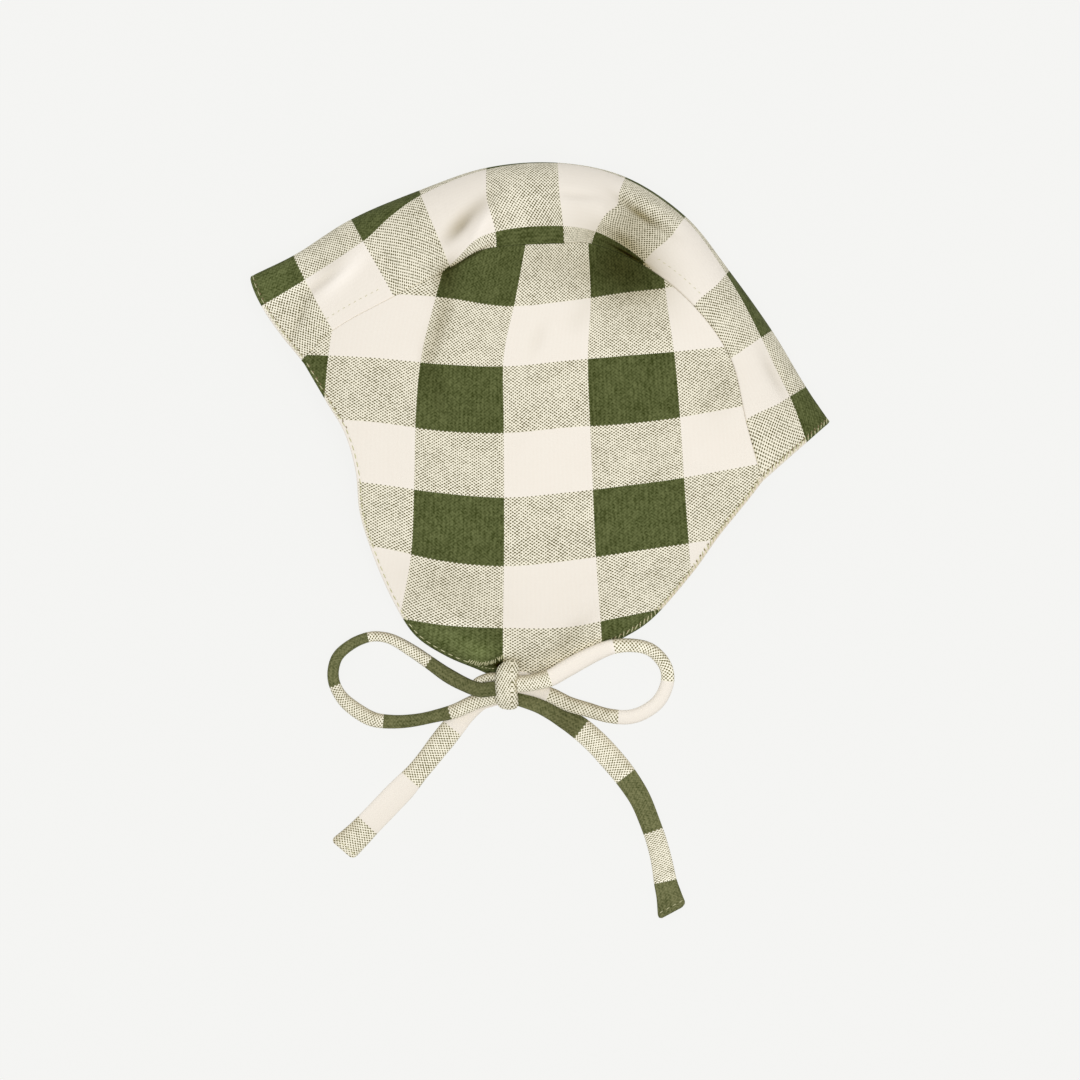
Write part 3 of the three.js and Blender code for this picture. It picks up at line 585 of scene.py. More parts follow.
# Check: distance from the mid-line to the second and third rows, and how far a row runs on at the seam.
BAND_CHECKS = np.array([
    (-0.68, 0.0150, 0.0470, 0.0), (0.0, 0.0144, 0.0464, 0.0), (1.0, 0.0155, 0.0475, 0.0),
    (1.5, 0.0113, 0.0435, 0.0), (2.0, 0.0074, 0.0396, 0.0), (3.0, 0.0055, 0.0355, -0.14),
    (4.0, 0.0040, 0.0350, -0.05), (5.0, 0.0060, 0.0347, 0.18), (6.0, 0.0064, 0.0346, 0.12),
    (7.0, 0.0086, 0.0382, 0.06), (8.0, 0.0125, 0.0430, 0.0), (9.0, 0.0117, 0.0425, 0.05),
    (9.65, 0.0150, 0.0470, 0.0)])

# The deep fold of the crown draws the cloth along by a tenth of a check, close to one place.
PULL_PLACE, PULL_REACH, PULL_CHECKS = (0.0295, 0.0752), 0.0042, 0.085

# The soft folds of the upper side: x, y, turn in degrees, length, width, depth, and how much painted shade
# darkens the colour there. A depth below zero is a swell, and a last value below zero a painted highlight.
FOLDS = [
    # The crease of the crown, with a ridge beside it.
    (-0.0294, 0.0697, 50, 0.0074, 0.0027, 0.0026, 0.43),
    (-0.0213, 0.0763, 47, 0.0060, 0.0028, 0.0000, 0.20),
    (-0.0204, 0.0690, 58, 0.0090, 0.0024, -0.0016, -0.06),
    # The deep fold of the crown towards the nape, with the ridges beside it.
    (0.0371, 0.0737, -34, 0.0095, 0.0017, 0.0010, 0.52),
    (0.0350, 0.0702, -34, 0.0095, 0.0042, 0.0012, 0.24),
    (0.0415, 0.0766, -34, 0.0100, 0.0022, -0.0008, -0.04),
    (0.0222, 0.0745, -50, 0.0060, 0.0040, -0.0010, -0.04),
    # The hollow of the side under that fold, with painted shade in it and a painted highlight beside it.
    (0.0292, 0.0545, -30, 0.0175, 0.0120, 0.0016, 0.60),
    (0.0305, 0.0640, -35, 0.0080, 0.0030, 0.0000, 0.22),
    (0.0018, 0.0572, 0, 0.0120, 0.0080, 0.0008, 0.12),
    (0.0150, 0.0600, -10, 0.0075, 0.0060, 0.0000, -0.17),
    # Painted shade in the seam's crevices under the crease and the deep fold, and in the slack cloth in
    # front.
    (-0.0255, 0.0576, 30, 0.0095, 0.0008, 0.0004, 0.58),
    (0.0316, 0.0586, -29, 0.0085, 0.0006, 0.0000, 0.40),
    (-0.0340, 0.0510, 65, 0.0064, 0.0036, 0.0008, 0.46),
    (-0.0362, 0.0330, 72, 0.0170, 0.0031, 0.0008, 0.30),
    (-0.0374, 0.0115, 105, 0.0120, 0.0028, 0.0006, 0.13),
    # Small dimples of the side and crown with a little painted shade, and a painted highlight on the crown.
    (-0.0011, 0.0284, 70, 0.0060, 0.0025, 0.0008, 0.05),
    (0.0144, 0.0356, 60, 0.0060, 0.0040, 0.0005, 0.05),
    (0.0130, 0.0804, -5, 0.0080, 0.0016, 0.0008, 0.05),
    (-0.0060, 0.0800, 0, 0.0110, 0.0070, 0.0000, -0.07),
    # The folds of the peak, with painted highlights.
    (-0.0792, 0.0499, 33, 0.0110, 0.0020, 0.0010, 0.14),
    (-0.0704, 0.0534, 45, 0.0120, 0.0032, -0.0006, -0.16),
    (-0.0880, 0.0365, 68, 0.0080, 0.0018, 0.0010, 0.17),
    (-0.0985, 0.0500, 30, 0.0120, 0.0080, 0.0000, -0.30),
    (-0.0760, 0.0562, 33, 0.0060, 0.0025, 0.0000, 0.10),
    # The long soft folds at the nape, and a broad painted highlight.
    (0.0858, 0.0154, -60, 0.0100, 0.0024, 0.0010, 0.12),
    (0.0575, 0.0546, -50, 0.0250, 0.0120, 0.0000, -0.04),
    (0.0640, 0.0100, 80, 0.0120, 0.0080, 0.0005, 0.07),
    # Painted shadow where the tie leaves the flap, under the knot, and where it pulls on the flap's point.
    (-0.0151, -0.0898, -30, 0.0046, 0.0028, 0.0000, 0.80),
    (-0.0190, -0.0906, -4, 0.0060, 0.0007, 0.0000, 0.50),
    (-0.0110, -0.0893, 10, 0.0045, 0.0018, 0.0000, 0.45),
    (0.0090, -0.0825, 42, 0.0120, 0.0036, 0.0009, 0.18),
    # Painted light and shade on the flap without an edge, with one shallow hollow.
    (-0.0330, -0.0620, -20, 0.0160, 0.0080, 0.0006, 0.10),
    (0.0296, -0.0765, 30, 0.0120, 0.0060, 0.0000, -0.14),
    (-0.0318, -0.0806, -14, 0.0150, 0.0050, 0.0000, -0.42),
    (-0.0218, -0.0862, -14, 0.0070, 0.0034, 0.0000, -0.66),
    (-0.0318, -0.0390, 0, 0.0150, 0.0110, 0.0000, -0.13),
    (0.0360, -0.0380, 0, 0.0160, 0.0110, 0.0000, -0.10)]


def band_points(check, side):
    """Points of the band's outer face. side runs from -1 at the lower seam over 0 on the mid-line to 1."""
    row = curve_through(BAND_SHAPE[:, 0], BAND_SHAPE[:, 1:], check.ravel()).reshape(check.shape + (9,))
    middle, seam, reach = row[..., 0:3], row[..., 3:6], row[..., 6]
    flat, bow = row[..., 7], row[..., 8]
    turn = np.abs(side)
    eased = (np.hypot(turn, FOLD_EASE) - FOLD_EASE) / (math.hypot(1, FOLD_EASE) - FOLD_EASE)
    inward = (1 - flat) * (1 - np.cos(turn * math.pi / 2)) + flat * eased
    rise = (1 - flat) * np.sin(turn * math.pi / 2) + flat * turn
    to_seam = seam[..., :2] - middle[..., :2]
    beside = unit(np.stack([-to_seam[..., 1], to_seam[..., 0]], -1))
    share = inward * np.where(side > 0, 1, reach)
    plan = middle[..., :2] + to_seam * share[..., None] + beside * (bow * np.sin(math.pi * turn))[..., None]
    upper = middle[..., 2] + (seam[..., 2] - middle[..., 2]) * rise
    z = np.where(side > 0, upper, middle[..., 2] * (1 - rise))
    return np.concatenate([plan, z[..., None]], -1)


def fold_depths(points):
    """How deep the folds are at these points, and how much shade is painted into the colour there."""
    depth, shade = np.zeros(points.shape[:-1]), np.zeros(points.shape[:-1])
    for x, y, turn, length, width, most, dark in FOLDS:
        dx, dy = points[..., 0] - x, points[..., 1] - y
        c, s = math.cos(math.radians(turn)), math.sin(math.radians(turn))
        share = np.exp(-((dx * c + dy * s) / length) ** 2 - ((dy * c - dx * s) / width) ** 2)
        depth += most * share
        shade += dark * share
    return depth, shade


def face_normals(points, wrapped):
    """Normals of a grid of points, on the side from which its rows lead to the right of its columns."""
    down = np.gradient(points, axis=0)
    if wrapped:
        across = (np.roll(points, -1, 1) - np.roll(points, 1, 1)) / 2
    else:
        across = np.gradient(points, axis=1)
    return unit(np.cross(across, down))


def seam_normals(seam, upper):
    """The direction that both sides of a seam share, square to the seam."""
    along = unit(np.gradient(seam, axis=0))
    outward = unit(np.stack([-along[:, 1], along[:, 0], np.zeros(len(seam))], 1))
    lean = outward * (SEAM_LEAN if upper else 0) + np.array([0, 0, 1.0 if upper else -1.0])
    return unit(lean - along * np.sum(lean * along, 1, keepdims=True))


def edge_profile(distance, radius, least):
    """How thick the cloth is near an edge, as a share: a quarter round from the least share up to 1."""
    past = np.clip(1 - distance / radius, 0, 1)
    return least + (1 - least) * np.sqrt(1 - past ** 2)


def hem_profile(distance):
    """How thick the cloth is near a hem, as a share: round at its edge and drawn in by its stitches."""
    pinch = PINCH_DEPTH * np.exp(-((distance - STITCHES_FROM_EDGE) / PINCH_WIDTH) ** 2)
    return edge_profile(distance, HEM_ROUND, 0) * (1 - pinch)


def with_rims(length, step):
    """Distances along a line with dense steps at both ends."""
    middle = np.linspace(RIM_STEPS[-1], length - RIM_STEPS[-1], max(2, int(round(length / step))))[1:-1]
    return np.concatenate([RIM_STEPS, middle, length - np.array(RIM_STEPS)[::-1]])


# The outer face of the band. Each row across it is divided evenly by length, with dense steps at both seams.
BAND_STEP, BAND_STEPS_ACROSS, FINE_STEPS_ACROSS = 0.0011, 68, 481
band_span = (NAPE_HEM - PEAK_HEM) * BAND_LENGTH_PER_CHECK
from_peak = with_rims(band_span, BAND_STEP)
check_rows = PEAK_HEM + from_peak / BAND_LENGTH_PER_CHECK
fine_side = np.linspace(-1, 1, FINE_STEPS_ACROSS)
fine_check, fine_sides = np.meshgrid(check_rows, fine_side, indexing="ij")
fine_points = band_points(fine_check, fine_sides)
fine_arc = np.zeros_like(fine_check)
fine_arc[:, 1:] = np.cumsum(np.linalg.norm(np.diff(fine_points, axis=1), axis=2), axis=1)
rims = np.array(RIM_STEPS) + SEAM_GAP
band_side, band_arc = [], []
for arc in fine_arc:
    inner = np.linspace(rims[-1], arc[-1] - rims[-1], BAND_STEPS_ACROSS)[1:-1]
    wanted = np.concatenate([rims, inner, arc[-1] - rims[::-1]])
    band_side.append(np.interp(wanted, arc, fine_side))
    band_arc.append(wanted)
band_side, band_arc = np.array(band_side), np.array(band_arc)
band_check = np.repeat(check_rows[:, None], band_side.shape[1], 1)
band_outer = band_points(band_check, band_side)
to_lower, to_upper = band_arc, fine_arc[:, -1:] - band_arc
to_hem = np.minimum(from_peak, band_span - from_peak)[:, None]

# The folds sink into the face that looks up. The seam's groove gets painted shade between the crown and the
# nape.
PAINTED_SHADE_SIDES = (0.0, 0.15)
GROOVE_WIDTH, GROOVE_SHADE = 0.0004, 0.15
GROOVE_CHECKS, GROOVE_X = (5.3, 6.3), (0.030, 0.045)
band_normal = face_normals(band_outer, wrapped=False)
facing_up = np.clip(band_normal[..., 2], 0, 1) ** 0.5 * ease(0, SEAM_BLEND, to_upper)
# The folds' painted shade and light go on the band's upper side only.
fold_depth, fold_shade = fold_depths(band_outer)
in_groove = np.exp(-(to_upper / GROOVE_WIDTH) ** 2) * ease(*GROOVE_CHECKS, band_check)
fold_shade = fold_shade * ease(*PAINTED_SHADE_SIDES, band_side) + GROOVE_SHADE * in_groove
band_outer = band_outer - band_normal * (fold_depth * facing_up)[..., None]
band_normal = face_normals(band_outer, wrapped=False)

# The two layers of cloth, which share the panels' direction at the seams.
upper_seam = band_points(check_rows, np.ones_like(check_rows))
lower_seam = band_points(check_rows, -np.ones_like(check_rows))
for seam, distance, upper in ((lower_seam, to_lower, False), (upper_seam, to_upper, True)):
    share = (1 - ease(0, SEAM_BLEND, distance))[..., None]
    band_normal = unit(band_normal * (1 - share) + seam_normals(seam, upper)[:, None] * share)
thickness = (edge_profile(to_lower - SEAM_GAP, SEAM_ROUND, SEAM_DEPTH)
             * edge_profile(to_upper - SEAM_GAP, SEAM_ROUND, SEAM_DEPTH) * hem_profile(to_hem))
band_middle = band_outer - band_normal * CLOTH_HALF
band_out = band_middle + band_normal * (CLOTH_HALF * thickness)[..., None]
band_in = band_middle - band_normal * (CLOTH_HALF * thickness)[..., None]
band_rings = np.concatenate([band_out, band_in[:, ::-1]], 1)

# The check's rows run on towards the seam in places, and the cloth of the hems is turned in by a little.
RUN_ON_SIDES = (0.55, 0.95)
BAND_TURNED_IN = 0.002
HEM_FADE, HEM_BEIGE_REACH = (0.0004, 0.0012), (0.0009, 0.0016)
NAPE_BEIGE = 0.5
from_middle_line = band_arc - np.array([np.interp(0, fine_side, arc) for arc in fine_arc])[:, None]
row_two, row_three, run_on = curve_through(BAND_CHECKS[:, 0], BAND_CHECKS[:, 1:], check_rows).T
band_u = 2 + (from_middle_line - row_two[:, None]) / (row_three - row_two)[:, None]
band_v = band_check + run_on[:, None] * ease(*RUN_ON_SIDES, band_side)
pulled = np.hypot(band_outer[..., 0] - PULL_PLACE[0], band_outer[..., 1] - PULL_PLACE[1])
band_v = band_v - PULL_CHECKS * np.exp(-(pulled / PULL_REACH) ** 2) * (band_side > 0)
band_cloth = np.stack([band_u, band_v], -1)
band_uv = np.concatenate([band_cloth, band_cloth[:, ::-1], band_cloth[:, :1]], 1)
inside = np.zeros((band_rings.shape[0] - 1, band_rings.shape[1]), bool)
inside[:, band_out.shape[1]:-1] = True
inside[to_hem[:-1, 0] < BAND_TURNED_IN] = False
hem_fade = np.repeat(1 - ease(*HEM_FADE, to_hem), band_rings.shape[1], 1)
at_nape = (from_peak > band_span / 2)[:, None]
hem_beige = np.repeat((1 - ease(*HEM_BEIGE_REACH, to_hem)) * at_nape * NAPE_BEIGE, band_rings.shape[1], 1)
band_fold = np.concatenate([fold_shade, fold_shade[:, ::-1]], 1)

check_jersey = jersey("Check jersey")
wrong_side = jersey("Jersey inside", checked=False)
crown_band = skin("crown_band_cloth", band_rings, band_uv, [check_jersey, wrong_side], inside,
                  fade=hem_fade, beige=hem_beige, fold=band_fold)
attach(crown_band, "root")
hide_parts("crown_band")


# The side panels
# Each side is one doubled panel of the check jersey: round over the ear, with the flap as its lower point.
# Its round edge is sewn to the crown band, and its free edge is a turned hem with stitches close to it.

# The free edge of a panel from the peak over the flap's point to the nape, as the upper one lies.
FLAP_EDGE = np.array([
    (-0.0869, 0.0211, 0.0300), (-0.0778, 0.0056, 0.0295), (-0.0713, -0.0056, 0.0288),
    (-0.0674, -0.0194, 0.0272), (-0.0661, -0.0340, 0.0242), (-0.0619, -0.0486, 0.0195),
    (-0.0552, -0.0652, 0.0130), (-0.0470, -0.0790, 0.0075), (-0.0352, -0.0872, 0.0052),
    (-0.0226, -0.0922, 0.0046), (-0.0122, -0.0943, 0.0046), (0.0022, -0.0932, 0.0046),
    (0.0168, -0.0870, 0.0048), (0.0313, -0.0804, 0.0065), (0.0427, -0.0725, 0.0100),
    (0.0565, -0.0562, 0.0170), (0.0653, -0.0434, 0.0235), (0.0758, -0.0300, 0.0295),
    (0.0809, -0.0231, 0.0320)])
SWELL = 10.0
PANEL_SEAM_STEPS, PANEL_EDGE_STEPS, PANEL_RINGS = 190, 210, 48
LEAST_SLOPE = 0.3
WELL_INSIDE = 0.01
PANEL_FOLDS_START = 0.006
HEM_TURNED_IN = 0.007
BEIGE_X = (-0.005, 0.02)

# The lower panel's edge leaves the floor's plane at both ends, and its flap shows a little past the near one.
EDGE_LIFT = 0.2
FAR_FLAP_SHOWS, FAR_FLAP_X, FAR_FLAP_WIDTH = 0.0010, -0.0165, 0.006
FLAP_BELOW = -0.06

# The hem isn't paler where the flap's point runs under the bow's loop.
LOOP_OVER_X, LOOP_OVER_WIDTH, LOOP_OVER_BELOW = 0.0040, 0.0130, -0.08

# Where the check's lines cross the upper panel: x of five column lines at heights y, y of six row lines at x.
COLUMN_Y = np.array([-0.093, -0.075, -0.050, -0.025, 0.0, 0.022, 0.042, 0.062])
COLUMN_X = np.array([
    (-0.0880, -0.0840, -0.0810, -0.0800, -0.0790, -0.0768, -0.0740, -0.0710),
    (-0.0560, -0.0522, -0.0472, -0.0457, -0.0449, -0.0427, -0.0379, -0.0325),
    (-0.0137, -0.0136, -0.0131, -0.0130, -0.0131, -0.0130, -0.0089, -0.0052),
    (0.0238, 0.0224, 0.0204, 0.0191, 0.0179, 0.0172, 0.0182, 0.0174),
    (0.0590, 0.0575, 0.0548, 0.0524, 0.0505, 0.0484, 0.0456, 0.0434)])
ROW_X = np.array([-0.085, -0.060, -0.035, -0.012, 0.010, 0.030, 0.050, 0.080])
ROW_Y = np.array([
    (0.0470, 0.0450, 0.0430, 0.0396, 0.0414, 0.0445, 0.0471, 0.0532),
    (0.0230, 0.0214, 0.0189, 0.0180, 0.0200, 0.0218, 0.0236, 0.0270),
    (0.0002, -0.0016, -0.0050, -0.0058, -0.0039, -0.0026, -0.0002, 0.0054),
    (-0.0210, -0.0239, -0.0274, -0.0290, -0.0272, -0.0248, -0.0221, -0.0167),
    (-0.0450, -0.0469, -0.0521, -0.0539, -0.0520, -0.0491, -0.0462, -0.0419),
    (-0.0710, -0.0721, -0.0757, -0.0767, -0.0765, -0.0727, -0.0688, -0.0640)])


def between_lines(lines, place, spacing):
    """How many lines lie before each place, with a smooth share for what is between two lines."""
    ends = [lines[:, :1] - 2 * spacing, lines[:, :1] - spacing, lines, lines[:, -1:] + spacing,
            lines[:, -1:] + 2 * spacing]
    lines = np.concatenate(ends, 1)
    count = lines.shape[1]
    slope = np.empty_like(lines)
    slope[:, 1:-1] = 2 / (lines[:, 2:] - lines[:, :-2])
    slope[:, 0], slope[:, -1] = 1 / spacing, 1 / spacing
    i = np.clip((lines < place[:, None]).sum(1) - 1, 0, count - 2)
    each = np.arange(len(place))
    span = lines[each, i + 1] - lines[each, i]
    t = (place - lines[each, i]) / span
    start, end = slope[each, i] * span, slope[each, i + 1] * span
    return i - 2 + t * (start + t * (3 - 2 * start - end + t * (start + end - 2)))


def panel_cloth(points):
    x, y = points[..., 0].ravel(), points[..., 1].ravel()
    columns = curve_through(COLUMN_Y, COLUMN_X.T, np.clip(y, COLUMN_Y[0], COLUMN_Y[-1]))
    rows = curve_through(ROW_X, ROW_Y.T, np.clip(x, ROW_X[0], ROW_X[-1]))
    u = between_lines(columns, x, CHECK_WIDTH)
    v = between_lines(-rows, -y, CHECK_HEIGHT)
    return np.stack([u, v], -1).reshape(points.shape[:-1] + (2,))


def settled_height(rim, share, swell):
    """Heights of a cloth that is held along its rim and blown up a little, on rings out to the rim."""
    count, around = share.shape
    flat = share[..., None] * rim[None, :, :2]
    beside = np.arange(around)
    passed, lift = [], []
    for ring in range(count - 1):
        points, outer = flat[ring], flat[ring + 1]
        inner = flat[ring - 1] if ring else np.zeros_like(points)
        to_inner, to_outer = (np.linalg.norm(points - other, axis=1) for other in (inner, outer))
        before, after = (np.linalg.norm(points - np.roll(points, turn, 0), axis=1) for turn in (1, -1))
        width, depth = (before + after) / 2, (to_inner + to_outer) / 2
        inner_share = share[ring - 1] if ring else 0
        pull_in = width * (share[ring] + inner_share) / (2 * share[ring]) / to_inner
        pull_out = width * (share[ring] + share[ring + 1]) / (2 * share[ring]) / to_outer
        pull_before, pull_after = depth / before, depth / after
        balance = np.diag(pull_in + pull_out + pull_before + pull_after)
        balance[beside, beside - 1] -= pull_before
        balance[beside, (beside + 1) % around] -= pull_after
        load = swell * width * depth
        if ring:
            balance -= pull_in[:, None] * passed[-1]
            load = load + pull_in * lift[-1]
        else:
            balance -= pull_in[:, None] / around
        passed.append(np.linalg.solve(balance, np.diag(pull_out)))
        lift.append(np.linalg.solve(balance, load))
    height = np.empty((count, around))
    height[-1] = rim[:, 2]
    for ring in range(count - 2, -1, -1):
        height[ring] = passed[ring] @ height[ring + 1] + lift[ring]
    return height


def panel_rim(upper):
    """The outline of a panel from the peak along the seam to the nape and back along the free edge."""
    seam_check = np.linspace(PEAK_HEM, NAPE_HEM, PANEL_SEAM_STEPS + 1)
    seam = band_points(seam_check, np.full_like(seam_check, 1.0 if upper else -1.0))
    back = np.linspace(len(FLAP_EDGE) - 1, 0, PANEL_EDGE_STEPS + 1)
    edge = curve_through(np.arange(len(FLAP_EDGE), dtype=float), FLAP_EDGE, back)
    if not upper:
        edge = edge * (1, 1, 0)
        start, end = seam[-1] - edge[0], seam[0] - edge[-1]
        share = np.linspace(0, 1, len(edge))[:, None]
        edge = edge + start * (1 - ease(0, EDGE_LIFT, share)) + end * ease(1 - EDGE_LIFT, 1, share)
        at_flap = np.exp(-((edge[:, :1] - FAR_FLAP_X) / FAR_FLAP_WIDTH) ** 2) * (edge[:, 1:2] < FLAP_BELOW)
        edge[:, :2] += unit(edge[:, :2]) * FAR_FLAP_SHOWS * at_flap
    rim = np.concatenate([seam, edge[1:-1]])
    on_seam = np.arange(len(rim)) <= PANEL_SEAM_STEPS
    return rim, on_seam


def nearest_on(points, line):
    """How far each point is in plan from the nearest of every other point of a line."""
    return np.min(np.linalg.norm(points[:, :, None, :2] - line[None, None, ::2, :2], axis=-1), axis=2)


def side_panel(name, upper):
    """A panel of two layers. Returns it, its outer face, the face's normals and what of its rim is a seam."""
    rim, on_seam = panel_rim(upper)
    around = len(rim)
    along = unit(np.roll(rim, -1, 0) - np.roll(rim, 1, 0))
    inward = unit(np.stack([along[:, 1], -along[:, 0]], 1))
    reach = np.linalg.norm(rim[:, :2], axis=1)
    slope = np.maximum(-np.sum(inward * rim[:, :2], 1) / reach, LEAST_SLOPE)
    gap = np.where(on_seam, SEAM_GAP, 0)
    rim_share = np.array([1 - (step + gap) / (reach * slope) for step in RIM_STEPS])
    steps = np.linspace(0, 1, PANEL_RINGS + 1)[1:-1]
    share = np.concatenate([steps[:, None] * rim_share[-1][None], rim_share[::-1]])
    height = np.zeros_like(share)
    if upper:
        grown = np.concatenate([share[:-1], np.ones((1, around))])
        height = settled_height(rim, grown, SWELL)
    outer = np.concatenate([share[..., None] * rim[None, :, :2], height[..., None]], -1)
    to_seam, to_edge = nearest_on(outer, rim[on_seam]), nearest_on(outer, rim[~on_seam])
    # On the upper panel, the folds' painted shade and light, and painted shade in the seam's groove.
    fold_shade = np.zeros_like(share)
    if upper:
        fold_depth, fold_shade = fold_depths(outer)
        fold_shade += GROOVE_SHADE * np.exp(-(to_seam / GROOVE_WIDTH) ** 2) * ease(*GROOVE_X, outer[..., 0])
        outer[..., 2] -= fold_depth * ease(0, PANEL_FOLDS_START, nearest_on(outer, rim))

    # The two layers, which share the band's direction at the seam and are round at the free edge.
    normal = face_normals(outer, wrapped=True)
    normal *= np.where((normal[..., 2:] > 0) == upper, 1, -1)
    shared = np.tile(np.array([0, 0, 1.0 if upper else -1.0]), (around, 1))
    shared[on_seam] = seam_normals(rim[on_seam], upper)
    blend = np.where(on_seam, 1, 0)[None] * (1 - ease(0, SEAM_BLEND, to_seam))
    normal = unit(normal * (1 - blend[..., None]) + shared[None] * blend[..., None])
    ring_step = np.concatenate([np.full(len(steps), WELL_INSIDE), np.array(RIM_STEPS)[::-1]])[:, None]
    seam_line = np.where(on_seam[None], ring_step, to_seam)
    edge_line = np.where(on_seam[None], to_edge, ring_step)
    thickness = edge_profile(seam_line, SEAM_ROUND, SEAM_DEPTH) * hem_profile(edge_line)
    middle = outer - normal * CLOTH_HALF
    out = middle + normal * (CLOTH_HALF * thickness)[..., None]
    under = middle - normal * (CLOTH_HALF * thickness)[..., None]
    rings = np.concatenate([out, under[::-1]])
    poles = [np.broadcast_to(rings[k].mean(0), rings[k].shape)[None] for k in (0, -1)]
    rings = np.concatenate([poles[0], rings, poles[1]])

    cloth = panel_cloth(rings)
    cloth = np.concatenate([cloth, cloth[:, :1]], 1)
    edge_all = np.concatenate([edge_line[:1], edge_line, edge_line[::-1], edge_line[:1]])
    inside = edge_all[:-1] > HEM_TURNED_IN
    inside[:out.shape[0] + 1] = False
    x, y = rings[..., 0], rings[..., 1]
    under_loop = np.exp(-((x - LOOP_OVER_X) / LOOP_OVER_WIDTH) ** 2) * (y < LOOP_OVER_BELOW)
    fade = (1 - ease(*HEM_FADE, edge_all)) * (1 - under_loop)
    beige = (1 - ease(*HEM_BEIGE_REACH, edge_all)) * ease(*BEIGE_X, x)
    fold = np.concatenate([fold_shade[:1], fold_shade, fold_shade[::-1], fold_shade[:1]])
    piece = skin(name, rings, cloth, [check_jersey, wrong_side], inside, fade=fade, beige=beige, fold=fold)
    return piece, out, normal, on_seam


panel_left, left_face, left_normal, left_on_seam = side_panel("side_panel_left_cloth", upper=True)
panel_right, *_ = side_panel("side_panel_right_cloth", upper=False)
for piece, node_name, under in ((panel_left, "side_panel_left", ["crown_band", "side_panel_right"]),
                                (panel_right, "side_panel_right", [])):
    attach(piece, "root")
    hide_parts(node_name)


# The stitching
# The hems are held by one line of cream thread close to the edge, and the flap's point, the nape and the
# ties' ends by slanted stitches. Each stitch is a short, slightly raised bead of thread.

THREAD_SHADE, THREAD_LIGHT = (0.36, 0.35, 0.17, 1), (0.72, 0.70, 0.45, 1)
TWIST_NOISE = (900.0, 2.0, 0.6)
BEAD_SIDES, BEAD_RINGS = 8, 5
STITCH_LIFT = 0.15

thread = bpy.data.materials.new("Cream thread")
thread.use_nodes = True
thread_tree = thread.node_tree
thread_shader = thread_tree.nodes["Principled BSDF"]
thread_place = add_node(thread_tree, "ShaderNodeTexCoord").node.outputs["Object"]
twist = add_node(thread_tree, "ShaderNodeTexNoise", (thread_place, None, *TWIST_NOISE))
thread_tree.links.new(blend_colours(thread_tree, twist, THREAD_SHADE, THREAD_LIGHT),
                      thread_shader.inputs["Base Color"])
thread_shader.inputs["Roughness"].default_value = 0.75


